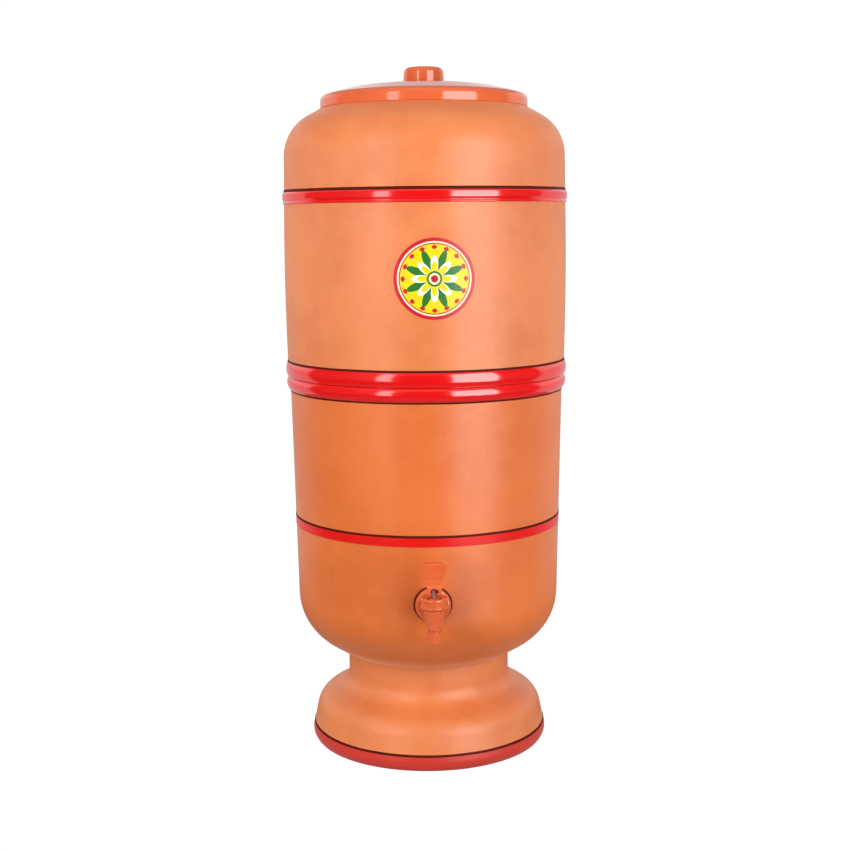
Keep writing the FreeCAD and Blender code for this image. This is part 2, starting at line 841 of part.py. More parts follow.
def tap_bonnet():
    """Ring cap screwed on the barrel, with a guide bore for the stem."""
    guide = stem_radius + stem_clearance
    inside = barrel_thread_radius + thread_clearance
    lip_top = barrel_collar_z + bonnet_lip_height
    cap = turned([
        (inside, barrel_collar_z, 0), (bonnet_lip_radius, barrel_collar_z, 0),
        (bonnet_radius, lip_top, 0), (bonnet_radius, bonnet_top_z, bonnet_top_blend),
        (guide, bonnet_top_z, 0), (guide, bonnet_roof_z, 0), (inside, bonnet_roof_z, 0),
    ])
    return at_tap(cap.cut(bonnet_panels()))


def tap_seat_cup():
    """Silicone cup: its plug closes the outlet and its flange is held by the bonnet."""
    knob_room = stem_knob_radius + stem_clearance
    neck_room = stem_radius + stem_clearance
    knob_floor = stem_foot_z - stem_clearance
    knob_roof = stem_foot_z + stem_knob_height + stem_clearance
    cap_top = knob_roof + cup_cap
    flange = barrel_thread_radius - stem_clearance
    return at_tap(turned([
        (0, seat_z, 0), (cup_plug_radius, seat_z, barrel_edge_blend),
        (cup_plug_radius, cap_top, 0), (cup_skirt_radius, barrel_top_z, 0),
        (flange, barrel_top_z, 0), (flange, bonnet_roof_z, 0),
        (cup_skirt_radius - cup_wall, bonnet_roof_z, 0),
        (cup_plug_radius - cup_wall, cap_top, 0), (neck_room, cap_top, 0),
        (neck_room, knob_roof, 0), (knob_room, knob_roof, 0), (knob_room, knob_floor, 0),
        (0, knob_floor, 0),
    ]))


def tap_stem():
    """Pale stem that lifts the silicone cup, cross-drilled for the lever's pin."""
    head = pin_z + stem_head_rise
    knob_top = stem_foot_z + stem_knob_height
    stem = turned([
        (0, stem_foot_z, 0), (stem_knob_radius, stem_foot_z, 0), (stem_knob_radius, knob_top, 0),
        (stem_radius, knob_top, 0), (stem_radius, head, stem_radius / 2), (0, head, 0),
    ])
    return at_tap(stem.cut(rod(pin_radius, 4 * stem_radius, V(0, 0, pin_z), SIDE)))


def tap_pin():
    """Pin that joins the lever's fork to the stem."""
    return at_tap(rod(pin_radius, fork_width - 2 * pin_recess, V(0, 0, pin_z), SIDE))


def lever_front_outline():
    """Front view of the lever about its pin: fork, waist and flared paddle."""
    half_fork, half_top = fork_width / 2, lever_top_width / 2
    low = -2 * cam_radius
    right = [
        (half_fork, low, 0), (half_fork, lever_waist_rise, lever_waist_blend),
        (half_top, lever_length - lever_top_crown, lever_top_blend),
    ]
    left = [(-across, up, blend) for across, up, blend in reversed(right)]
    return right + [(0, lever_length, lever_top_width)] + left


def lever_front_y(rise):
    """Front face of the paddle at a height above the pin."""
    root, tip = -lever_root_thickness / 2, -lever_tip_thickness / 2 - lever_lean
    return root + (tip - root) * rise / lever_length


def thumb_grooves():
    """Grooves across the front of the paddle."""
    grooves = []
    for index in range(thumb_ridge_count):
        rise = lever_length - thumb_ridge_margin - index * thumb_ridge_pitch
        y = lever_front_y(rise) - thumb_groove_radius + thumb_groove_depth
        grooves.append(rod(thumb_groove_radius, 2 * lever_top_width, V(0, y, rise), SIDE))
    return Part.makeCompound(grooves)


def tap_lever():
    """Lever: its round heel rides on the bonnet and draws the stem up as it tilts."""
    width = V(2 * lever_top_width, 0, 0)
    lever_back_y = lever_tip_thickness / 2 - lever_lean
    blade = outline_face([
        (lever_root_thickness / 2, 0, 0), (lever_back_y, lever_length, lever_edge_blend),
        (lever_front_y(lever_length), lever_length, lever_edge_blend), (lever_front_y(0), 0, 0),
    ], on_side)
    blade.translate(width * -0.5)
    heel = rod(cam_radius, width.Length, V(0, -cam_forward, cam_rise), SIDE)
    side = blade.extrude(width).fuse(heel)
    depth = 4 * cam_radius
    front = outline_face(lever_front_outline())
    front.translate(FRONT * (depth / 2))
    lever = side.common(front.extrude(FRONT * -depth))
    half_slot = fork_slot_width / 2
    slot = outline_face([
        (-half_slot, -depth, 0), (half_slot, -depth, 0),
        (half_slot, fork_slot_rise, fork_slot_blend), (-half_slot, fork_slot_rise, fork_slot_blend),
    ])
    slot.translate(FRONT * (depth / 2))
    lever = lever.cut(slot.extrude(FRONT * -depth)).cut(thumb_grooves())
    lever = lever.cut(rod(pin_radius + pin_clearance, 2 * fork_width, V(0, 0, 0), SIDE))
    lever.translate(V(0, 0, pin_z))
    return at_tap(lever)


# ---------------------------------------------------------------------------- assembly
def shifted(solid, x):
    """Copy of a solid moved along X."""
    copy = solid.copy()
    copy.translate(V(x, 0, 0))
    return copy


def build():
    """Every sub-part under its node name."""
    lower, upper = lower_vessel(), upper_vessel()
    band_bottom = mouth_z - shoulder_band_drop - shoulder_band_width
    upper_bead = crowned_ring(upper_wall_radius, seam_z, bead_width, upper_bead_crown)
    lower_bead = crowned_ring(lower_wall_radius, seam_z - bead_width, bead_width,
                              lower_bead_crown)
    band = crowned_ring(upper_wall_radius, band_bottom, shoulder_band_width,
                        shoulder_band_crown)
    nodes = {
        "pedestal_foot": pedestal_foot(),
        "lower_vessel": lower,
        "upper_vessel": upper,
        "shoulder_band": band.cut(upper),
        "upper_rim_bead": upper_bead.cut(upper),
        "lower_rim_bead": lower_bead.cut(lower),
        "belt_stripe": painted_ring(lower_outer_path(), foot_height + belt_rise, belt_width),
        "foot_stripe": painted_ring(foot_outer_path()[::-1], 0, foot_stripe_width),
        "front_label": front_label(),
        "lid": lid(),
        "lid_knob": lid_knob(),
        "lid_knob_washer": lid_knob_washer(),
        "lid_knob_screw": lid_knob_screw(),
        "tap_body": tap_body(),
        "tap_outer_gasket": tap_outer_gasket(),
        "tap_inner_gasket": tap_inner_gasket(),
        "tap_lock_nut": tap_lock_nut(),
        "tap_bonnet": tap_bonnet(),
        "tap_seat_cup": tap_seat_cup(),
        "tap_stem": tap_stem(),
        "tap_pin": tap_pin(),
        "tap_lever": tap_lever(),
    }
    one_per_candle = {
        "candle_shell": candle_shell(),
        "candle_carbon": candle_carbon(),
        "candle_base": candle_base(),
        "float_valve_body": float_valve_body(),
        "float_arm": float_arm(),
        "float_pad": float_pad(),
        "float_bulb": float_bulb(),
    }
    for name, solid in one_per_candle.items():
        for side, x in candle_places().items():
            nodes[name + "_" + side] = shifted(solid, x)
    grouped = {
        "candle_gaskets": candle_gasket(),
        "candle_washers": candle_washer(),
        "candle_wing_nuts": wing_nut(),
        "float_hinge_pins": float_hinge_pin(),
    }
    for name, solid in grouped.items():
        nodes[name] = Part.makeCompound([shifted(solid, x) for x in candle_places().values()])
    return nodes


os.makedirs("parts", exist_ok=True)
for node, shape in build().items():
    shape.exportStep("parts/" + node + ".step")
    print(node, len(shape.Solids), "solids", round(shape.Volume / 1000, 2), "cm3")
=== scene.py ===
"""Looks of a gravity-fed clay water filter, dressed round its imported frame.

Lengths are millimetres until they reach a mesh, which is in metres.  The tap faces -Y.
"""

import logging
import math
from dataclasses import dataclass, field
from enum import Enum

import bpy
from mathutils import Matrix, Vector, noise


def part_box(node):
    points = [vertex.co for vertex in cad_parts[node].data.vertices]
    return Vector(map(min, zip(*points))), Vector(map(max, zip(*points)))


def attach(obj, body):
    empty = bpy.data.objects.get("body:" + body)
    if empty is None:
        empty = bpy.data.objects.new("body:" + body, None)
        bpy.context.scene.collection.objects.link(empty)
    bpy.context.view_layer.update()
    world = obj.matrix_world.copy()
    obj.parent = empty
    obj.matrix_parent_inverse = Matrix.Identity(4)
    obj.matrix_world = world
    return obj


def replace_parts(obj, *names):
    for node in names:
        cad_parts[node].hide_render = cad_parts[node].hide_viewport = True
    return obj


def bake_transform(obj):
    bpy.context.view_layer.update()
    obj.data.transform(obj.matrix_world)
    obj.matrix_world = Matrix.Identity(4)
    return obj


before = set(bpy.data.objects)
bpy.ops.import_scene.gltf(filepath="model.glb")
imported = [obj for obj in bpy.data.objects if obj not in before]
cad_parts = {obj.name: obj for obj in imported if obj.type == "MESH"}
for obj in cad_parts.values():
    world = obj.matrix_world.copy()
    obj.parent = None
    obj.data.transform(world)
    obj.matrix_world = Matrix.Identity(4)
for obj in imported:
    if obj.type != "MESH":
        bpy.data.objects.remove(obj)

MM = 0.001
# Vertices that lie closer than this become one.
MERGE_DISTANCE = 0.001 * MM
# An arc is cut often enough that each part turns and runs no further than these.
ARC_TURN = math.radians(6)
ARC_RUN = 5.0
# Edges that turn by more than these stay crisp in the shading, are real edges of a
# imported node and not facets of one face, and get a rounded edge, in that order.
SHARP_TURN = math.radians(34)
FLAT_TURN = math.radians(0.8)
EDGE_TURN = math.radians(32)
# Rounded edges have this many facets.
EDGE_FACETS = 3
# How much a large face outweighs a small one in the shading, from 1 to 100.
FACE_WEIGHT = 80
# Sockets of a Mix node: its factor, its two colours or numbers, and its result.
MIX_FACTOR, MIX_A, MIX_B, MIX_RESULT = 0, 6, 7, 2
MIX_LOW, MIX_HIGH = 2, 3
# A ramp runs from 0 to 1, so that what is level lies in its middle.
RAMP_MIDDLE = 0.5
# The UV map that the medallion's print follows.
MEDALLION_SHEET = "medallion"
UP = Vector((0, 0, 1))

log = logging.getLogger("clay_filter")


# ------------------------------------------------------------------------- sections
@dataclass(frozen=True)
class Corner:
    """One corner of a section, in millimetres.

    Attributes:
        across: Distance from the axis.
        up: Distance along the axis.
        blend: Radius of the arc that rounds the corner, or 0 for a sharp one.
    """

    across: float
    up: float
    blend: float = 0.0

    @property
    def spot(self) -> Vector:
        """The corner as a flat vector."""
        return Vector((self.across, self.up))


def corner_arc(before: Vector, here: Vector, after: Vector, blend: float) -> list[Vector]:
    """Rounds one corner.

    Args:
        before: The corner before it.
        here: The corner itself.
        after: The corner after it.
        blend: Radius of its arc.

    Returns:
        Points along the arc, from the side of the first corner to that of the last.
    """
    to_before = (before - here).normalized()
    to_after = (after - here).normalized()
    half = to_before.angle(to_after) / 2
    centre = here + (to_before + to_after).normalized() * (blend / math.sin(half))
    start = here + to_before * (blend / math.tan(half)) - centre
    end = here + to_after * (blend / math.tan(half)) - centre
    sweep = math.atan2(start.x * end.y - start.y * end.x, start.dot(end))
    count = math.ceil(max(2, abs(sweep) / ARC_TURN, abs(sweep) * blend / ARC_RUN))
    turns = (Matrix.Rotation(sweep * step / count, 2) for step in range(count + 1))
    return [centre + turn @ start for turn in turns]


def rounded(corners: list[Corner], closed: bool = False) -> list[Vector]:
    """Draws an outline with every blend as an arc.

    Args:
        corners: The outline's corners in order.
        closed: Whether the last corner leads back to the first.

    Returns:
        The outline's points.
    """
    points: list[Vector] = []
    last = len(corners) - 1
    for index, corner in enumerate(corners):
        at_end = not closed and index in (0, last)
        if corner.blend <= 0 or at_end:
            points.append(corner.spot)
            continue
        after = corners[(index + 1) % len(corners)]
        points += corner_arc(corners[index - 1].spot, corner.spot, after.spot, corner.blend)
    return points


def beside(corners: list[Corner], distance: float) -> list[Corner]:
    """Moves a path sideways with its blends kept concentric.

    Args:
        corners: The path's corners in order.
        distance: How far to its left the path moves.

    Returns:
        The moved path's corners.
    """
    spots = [corner.spot for corner in corners]
    headings = [(b - a).normalized() for a, b in zip(spots, spots[1:])]
    normals = [Vector((-heading.y, heading.x)) for heading in headings]
    moved = [Corner(*(spots[0] + normals[0] * distance))]
    for index in range(1, len(spots) - 1):
        before, after = normals[index - 1], normals[index]
        spot = spots[index] + (before + after) * (distance / (1 + before.dot(after)))
        left_turn = headings[index - 1].cross(headings[index]) > 0
        blend = corners[index].blend - (distance if left_turn else -distance)
        moved.append(Corner(spot.x, spot.y, max(blend, 0.0)))
    return moved + [Corner(*(spots[-1] + normals[-1] * distance))]


def bulged(start: Vector, end: Vector, rise: float, count: int = 14) -> list[Vector]:
    """Draws one arc between two points.

    Args:
        start: Its first point.
        end: Its last point.
        rise: How far its middle stands off to the right of the chord.
        count: How many parts it has.

    Returns:
        Points along the arc, with both ends.
    """
    chord = end - start
    radius = (chord.length_squared / 4 + rise * rise) / (2 * rise)
    outwards = Vector((chord.y, -chord.x)).normalized()
    centre = (start + end) / 2 + outwards * (rise - radius)
    sweep = 2 * math.asin(chord.length / 2 / radius)
    turns = (Matrix.Rotation(sweep * step / count, 2) for step in range(count + 1))
    return [centre + turn @ (start - centre) for turn in turns]


def radius_at(path: list[Corner], height: float) -> float:
    """Radius of a wall at a height.

    Args:
        path: The wall's section.
        height: Where to measure it.

    Returns:
        The distance from the axis, or that of the nearest end outside the path.
    """
    points = rounded(path)
    for low, high in zip(points, points[1:]):
        if min(low.y, high.y) <= height <= max(low.y, high.y) and low.y != high.y:
            return low.x + (high.x - low.x) * (height - low.y) / (high.y - low.y)
    return min(points, key=lambda point: abs(point.y - height)).x


def height_at(path: list[Corner], across: float) -> float:
    """Height of an underside at a distance from the axis.

    Args:
        path: The underside's section, from the axis outwards.
        across: Where to measure it.

    Returns:
        The height there, or that of the path's last point outside the path.
    """
    points = rounded(path)
    for near, far in zip(points, points[1:]):
        if near.x <= across <= far.x and near.x != far.x:
            return near.y + (far.y - near.y) * (across - near.x) / (far.x - near.x)
    return points[-1].y


def box_mm(node: str) -> tuple[Vector, Vector]:
    """Lowest and highest corners of a CAD node in millimetres."""
    low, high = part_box(node)
    return low / MM, high / MM


# --------------------------------------------------------------------------- meshes
class Turning(Enum):
    """The ways in which an axis can run; sections are turned about the first two."""

    UPRIGHT = (0.0, 0.0, 1.0)
    FORWARD = (0.0, -1.0, 0.0)
    SIDEWAYS = (1.0, 0.0, 0.0)

    def place(self, point: Vector) -> Vector:
        """Where a section's point lies in space."""
        return Vector((point.x, 0, 0)) + Vector(self.value) * point.y


def begin(place: Vector) -> None:
    """Adds a plane, opens it for editing and collapses it to one point.

    Args:
        place: Where the point lies, in metres.
    """
    bpy.ops.mesh.primitive_plane_add(size=MM, location=place)
    bpy.ops.object.mode_set(mode="EDIT")
    bpy.ops.mesh.select_all(action="SELECT")
    bpy.ops.mesh.merge(type="CENTER")


def draw(places: list[Vector]) -> None:
    """Draws a wire by extruding a point along it, and leaves it open for editing.

    Args:
        places: The places that it runs through, in metres.
    """
    begin(places[0])
    for before, after in zip(places, places[1:]):
        bpy.ops.mesh.extrude_region_move(TRANSFORM_OT_translate={"value": after - before})
    bpy.ops.mesh.select_all(action="SELECT")
    bpy.ops.mesh.remove_doubles(threshold=MERGE_DISTANCE)


def close_up() -> bpy.types.Object:
    """Merges doubles, turns faces outwards, leaves edit mode and settles the object.

    Returns:
        The object, at the origin with its place in its mesh.
    """
    bpy.ops.mesh.select_all(action="SELECT")
    bpy.ops.mesh.remove_doubles(threshold=MERGE_DISTANCE)
    bpy.ops.mesh.normals_make_consistent(inside=False)
    bpy.ops.object.mode_set(mode="OBJECT")
    bpy.ops.object.transform_apply(location=True, rotation=True, scale=True)
    return bpy.context.object


def lathed(section: list[Vector], steps: int = 192, turning: Turning = Turning.UPRIGHT,
           centre: Vector = Vector((0, 0, 0))) -> bpy.types.Object:
    """Turns a section into a solid.

    Args:
        section: Its points, an open line from axis to axis, or a ring off the axis.
        steps: How many facets go round.
        turning: Which way its axis points.
        centre: A point of the axis, in millimetres.

    Returns:
        The solid, at the origin with its place in its mesh.
    """
    places = [(centre + turning.place(point)) * MM for point in section]
    if section[0].x > 0 or section[-1].x > 0:
        places.append(places[0])
    draw(places)
    bpy.ops.mesh.spin(steps=steps, angle=math.tau, center=centre * MM, axis=turning.value)
    return close_up()


def pressed(outline: list[Vector], turning: Turning, centre: Vector,
            depth: float) -> bpy.types.Object:
    """Extrudes an upright outline both ways from its plane.

    Args:
        outline: Its points, along a level axis and upwards.
        turning: The level axis.
        centre: Where the outline's origin lies.
        depth: Length of the solid in all.

    Returns:
        The solid, at the origin with its place in its mesh.
    """
    level = Vector(turning.value)
    through = level.cross(UP)
    start = centre - through * (depth / 2)
    places = [(start + level * point.x + UP * point.y) * MM for point in outline]
    draw(places + places[:1])
    bpy.ops.mesh.edge_face_add()
    bpy.ops.mesh.extrude_region_move(TRANSFORM_OT_translate={"value": through * depth * MM})
    return close_up()


def pick(piece: bpy.types.Object) -> None:
    """Selects one object, makes it active and deselects all others.

    Args:
        piece: The object that the next operators act on.
    """
    bpy.ops.object.select_all(action="DESELECT")
    piece.select_set(True)
    bpy.context.view_layer.objects.active = piece


def apply_modifier(piece: bpy.types.Object, kind: str, **settings: object) -> None:
    """Adds a modifier to a piece, sets it and applies it.

    Args:
        piece: The object that gets it.
        kind: The modifier's type.
        settings: Its properties by name.
    """
    pick(piece)
    bpy.ops.object.modifier_add(type=kind)
    modifier = piece.modifiers[-1]
    for name, value in settings.items():
        setattr(modifier, name, value)
    bpy.ops.object.modifier_apply(modifier=modifier.name)


class Fitting(Enum):
    """What one solid does to another."""

    CUT = "DIFFERENCE"
    SHARE = "INTERSECT"
    FUSE = "UNION"


def combine(piece: bpy.types.Object, fitting: Fitting, tool: bpy.types.Object) -> None:
    """Works a second solid into a piece and throws the second away.

    Args:
        piece: The piece that is kept.
        fitting: Whether the second is cut out, shared or fused.
        tool: The second solid.
    """
    apply_modifier(piece, "BOOLEAN", object=tool, operation=fitting.value, solver="EXACT")
    bpy.data.objects.remove(tool)


def drill(radius: float, length: float, centre: Vector, turning: Turning,
          facets: int = 64) -> bpy.types.Object:
    """A round tool for a hole.

    Args:
        radius: The hole's radius.
        length: How far the tool reaches in all.
        centre: The middle of the tool.
        turning: Which way the hole runs.
        facets: How many facets go round.

    Returns:
        The tool as an object.
    """
    rotation = Vector(turning.value).to_track_quat("Z", "Y").to_euler()
    bpy.ops.mesh.primitive_cylinder_add(
        vertices=facets, radius=radius * MM, depth=length * MM, location=centre * MM,
        rotation=rotation)
    bpy.ops.object.transform_apply(location=True, rotation=True, scale=True)
    return bpy.context.object


# ------------------------------------------------------------------------- finishes
def linear(code: str) -> tuple[float, float, float, float]:
    """Turns a screen colour into linear light by the sRGB curve.

    Args:
        code: The colour's hex value, such as "#cc8855".

    Returns:
        Red, green and blue in linear light, and a full alpha.
    """
    shares = [int(code[index:index + 2], 16) / 255 for index in (1, 3, 5)]
    light = [s / 12.92 if s <= 0.04045 else ((s + 0.055) / 1.055) ** 2.4 for s in shares]
    return light[0], light[1], light[2], 1.0


def per_metre(size: float) -> float:
    """Texture scale that gives features of a size in millimetres."""
    return 1 / (size * MM)


def add_node(tree: bpy.types.NodeTree, kind: str, inputs: dict | None = None,
             **settings: object) -> bpy.types.Node:
    """Adds a node with its settings and links.

    Args:
        tree: The tree that gets it.
        kind: The node's type name after "ShaderNode".
        inputs: What each input takes, by name or number: a value or an output socket.
        settings: The node's properties by name.

    Returns:
        The new node.
    """
    node = tree.nodes.new("ShaderNode" + kind)
    for name, value in settings.items():
        setattr(node, name, value)
    for key, value in (inputs or {}).items():
        if isinstance(value, bpy.types.NodeSocket):
            tree.links.new(value, node.inputs[key])
        else:
            node.inputs[key].default_value = value
    return node


@dataclass(frozen=True)
class Finish:
    """What every finish shares.

    Attributes:
        name: What the surface is.
        slot: The record's material slot, or None for paint that has no slot; not used.
    """

    name: str
    slot: str | None

    def material(self) -> bpy.types.Material:
        """Finds the finish's material, or makes it when it is first asked for.

        Returns:
            The material.
        """
        found = bpy.data.materials.get(self.name)
        if found:
            return found
        material = bpy.data.materials.new(self.name)
        material.use_nodes = True
        tree = material.node_tree
        tree.nodes.clear()
        shader = self.shade(tree)
        add_node(tree, "OutputMaterial", {"Surface": shader.outputs[0]})
        return material

    def shade(self, tree: bpy.types.NodeTree) -> bpy.types.Node:
        """Builds the finish's nodes; each kind of finish has its own."""
        raise NotImplementedError


@dataclass(frozen=True)
class FiredClay(Finish):
    """Low-fired earthenware, thrown, sponged smooth and left without glaze.

    The eye sees a dull warm skin with soft clouds from the kiln, the thrower's faint
    rings and fine grit, and a pale sheen where light grazes it.
    """

    ground: str = "#d27642"
    flushed: str = "#ca6e3c"
    bloom: str = "#d6804e"
    cloud_mm: float = 85.0
    cloud_edge: tuple[float, float] = (0.38, 0.62)
    mottle_mm: float = 16.0
    mottle_edge: tuple[float, float] = (0.45, 0.75)
    mottle_share: float = 0.55
    ring_mm: float = 3.2
    ring_stretch: float = 0.03
    ring_height_mm: float = 0.035
    grit_mm: float = 1.3
    grit_height_mm: float = 0.025
    roughness: float = 0.40
    smoother: float = 0.05
    rougher: float = 0.07
    gloss: float = 1.55
    sheen: float = 0.3
    sheen_roughness: float = 0.35
    dust: str = "#ffb994"

    def shade(self, tree: bpy.types.NodeTree) -> bpy.types.Node:
        """Clouds and mottle in the colour, rings and grit in the relief.

        Args:
            tree: The material's empty tree.

        Returns:
            The shader.
        """
        place = add_node(tree, "TexCoord").outputs["Object"]
        cloud = add_node(tree, "TexNoise", {
            "Vector": place, "Scale": per_metre(self.cloud_mm), "Detail": 3.0})
        mottle = add_node(tree, "TexNoise", {
            "Vector": place, "Scale": per_metre(self.mottle_mm), "Detail": 6.0,
            "Roughness": 0.62})
        flush = add_node(tree, "MapRange", {
            "Value": cloud.outputs[0], "From Min": self.cloud_edge[0],
            "From Max": self.cloud_edge[1]}, interpolation_type="SMOOTHSTEP")
        bloom = add_node(tree, "MapRange", {
            "Value": mottle.outputs[0], "From Min": self.mottle_edge[0],
            "From Max": self.mottle_edge[1], "To Max": self.mottle_share})
        warm = add_node(tree, "Mix", {
            MIX_FACTOR: flush.outputs[0], MIX_A: linear(self.ground),
            MIX_B: linear(self.flushed)}, data_type="RGBA")
        colour = add_node(tree, "Mix", {
            MIX_FACTOR: bloom.outputs[0], MIX_A: warm.outputs[MIX_RESULT],
            MIX_B: linear(self.bloom)}, data_type="RGBA")
        flat = add_node(tree, "Mapping", {
            "Vector": place, "Scale": (self.ring_stretch, self.ring_stretch, 1.0)})
        rings = add_node(tree, "TexNoise", {
            "Vector": flat.outputs[0], "Scale": per_metre(self.ring_mm), "Detail": 2.0})
        grit = add_node(tree, "TexNoise", {
            "Vector": place, "Scale": per_metre(self.grit_mm), "Detail": 3.0})
        ringed = add_node(tree, "Bump", {
            "Strength": 1.0, "Distance": self.ring_height_mm * MM,
            "Height": rings.outputs[0]})
        gritty = add_node(tree, "Bump", {
            "Strength": 1.0, "Distance": self.grit_height_mm * MM,
            "Height": grit.outputs[0], "Normal": ringed.outputs[0]})
        dullness = add_node(tree, "MapRange", {
            "Value": mottle.outputs[0], "To Min": self.roughness - self.smoother,
            "To Max": self.roughness + self.rougher})
        return add_node(tree, "BsdfPrincipled", {
            "Base Color": colour.outputs[MIX_RESULT], "Roughness": dullness.outputs[0],
            "IOR": self.gloss, "Sheen Weight": self.sheen,
            "Sheen Roughness": self.sheen_roughness, "Sheen Tint": linear(self.dust),
            "Normal": gritty.outputs[0]})


@dataclass(frozen=True)
class BrushedEnamel(Finish):
    """Oil enamel laid on the clay with a soft brush while the pot turns.

    The eye sees a wet gloss whose highlights waver along the brush's run, and a colour
    that thins a little in places.
    """

    full: str = "#da070a"
    thin: str = "#cb0e0b"
    roughness: float = 0.12
    gloss: float = 1.9
    run_mm: float = 9.0
    run_height_mm: float = 0.05
    stretch: float = 0.12

    def shade(self, tree: bpy.types.NodeTree) -> bpy.types.Node:
        """Brush runs that are long round the pot and short up it.

        Args:
            tree: The material's empty tree.

        Returns:
            The shader.
        """
        place = add_node(tree, "TexCoord").outputs["Object"]
        along = add_node(tree, "Mapping", {
            "Vector": place, "Scale": (self.stretch, self.stretch, 1.0)})
        run = add_node(tree, "TexNoise", {
            "Vector": along.outputs[0], "Scale": per_metre(self.run_mm), "Detail": 2.0})
        waver = add_node(tree, "TexNoise", {
            "Vector": place, "Scale": per_metre(self.run_mm * 2), "Detail": 1.0})
        colour = add_node(tree, "Mix", {
            MIX_FACTOR: run.outputs[0], MIX_A: linear(self.full),
            MIX_B: linear(self.thin)}, data_type="RGBA")
        streaks = add_node(tree, "Bump", {
            "Strength": 1.0, "Distance": self.run_height_mm * MM,
            "Height": run.outputs[0]})
        wavy = add_node(tree, "Bump", {
            "Strength": 1.0, "Distance": self.run_height_mm * MM,
            "Height": waver.outputs[0], "Normal": streaks.outputs[0]})
        return add_node(tree, "BsdfPrincipled", {
            "Base Color": colour.outputs[MIX_RESULT], "Roughness": self.roughness,
            "IOR": self.gloss, "Normal": wavy.outputs[0]})


@dataclass(frozen=True)
class MouldedPlastic(Finish):
    """Injection-moulded polypropylene, coloured through.

    The eye sees an even, slightly waxy body with a clean gloss, broken only by the
    tool's fine grain and the shallow waves of cooling.
    """

    body: str
    deep: str
    roughness: float = 0.11
    wave_mm: float = 14.0
    wave_height_mm: float = 0.03
    grain_mm: float = 0.6
    grain_height_mm: float = 0.004
    smoother: float = 0.03
    rougher: float = 0.05
    gloss: float = 1.68
    glow: float = 0.04
    glow_mm: float = 2.0

    def shade(self, tree: bpy.types.NodeTree) -> bpy.types.Node:
        """A two-tone body under shallow waves and a fine grain.

        Args:
            tree: The material's empty tree.

        Returns:
            The shader.
        """
        place = add_node(tree, "TexCoord").outputs["Object"]
        wave = add_node(tree, "TexNoise", {
            "Vector": place, "Scale": per_metre(self.wave_mm), "Detail": 1.5})
        grain = add_node(tree, "TexNoise", {
            "Vector": place, "Scale": per_metre(self.grain_mm), "Detail": 2.0})
        colour = add_node(tree, "Mix", {
            MIX_FACTOR: wave.outputs[0], MIX_A: linear(self.body),
            MIX_B: linear(self.deep)}, data_type="RGBA")
        shallow = add_node(tree, "Bump", {
            "Strength": 1.0, "Distance": self.wave_height_mm * MM,
            "Height": wave.outputs[0]})
        grained = add_node(tree, "Bump", {
            "Strength": 1.0, "Distance": self.grain_height_mm * MM,
            "Height": grain.outputs[0], "Normal": shallow.outputs[0]})
        dullness = add_node(tree, "MapRange", {
            "Value": grain.outputs[0], "To Min": self.roughness - self.smoother,
            "To Max": self.roughness + self.rougher})
        return add_node(tree, "BsdfPrincipled", {
            "Base Color": colour.outputs[MIX_RESULT], "Roughness": dullness.outputs[0],
            "IOR": self.gloss, "Subsurface Weight": self.glow,
            "Subsurface Scale": self.glow_mm * MM, "Normal": grained.outputs[0]})


@dataclass(frozen=True)
class PorousMineral(Finish):
    """Pressed or fired mineral, such as a ceramic candle or a block of carbon.

    The eye sees a chalky body full of tiny pores, with no gloss at all.
    """

    body: str
    # Colour of the painted shade in the sunk pores.
    pore_shade: str
    pore_mm: float = 1.6
    pore_edge: tuple[float, float] = (0.42, 0.6)
    pore_depth_mm: float = 0.08
    roughness: float = 0.85

    def shade(self, tree: bpy.types.NodeTree) -> bpy.types.Node:
        """Pores that sink, darkened by painted shade in their hollows.

        Args:
            tree: The material's empty tree.

        Returns:
            The shader.
        """
        place = add_node(tree, "TexCoord").outputs["Object"]
        pores = add_node(tree, "TexNoise", {
            "Vector": place, "Scale": per_metre(self.pore_mm), "Detail": 5.0,
            "Roughness": 0.7})
        depth = add_node(tree, "MapRange", {
            "Value": pores.outputs[0], "From Min": self.pore_edge[0],
            "From Max": self.pore_edge[1]})
        # Painted shade: the sunk pores take the darker pore colour.
        colour = add_node(tree, "Mix", {
            MIX_FACTOR: depth.outputs[0], MIX_A: linear(self.pore_shade),
            MIX_B: linear(self.body)}, data_type="RGBA")
        pitted = add_node(tree, "Bump", {
            "Strength": 1.0, "Distance": self.pore_depth_mm * MM,
            "Height": depth.outputs[0]})
        return add_node(tree, "BsdfPrincipled", {
            "Base Color": colour.outputs[MIX_RESULT], "Roughness": self.roughness,
            "Normal": pitted.outputs[0]})


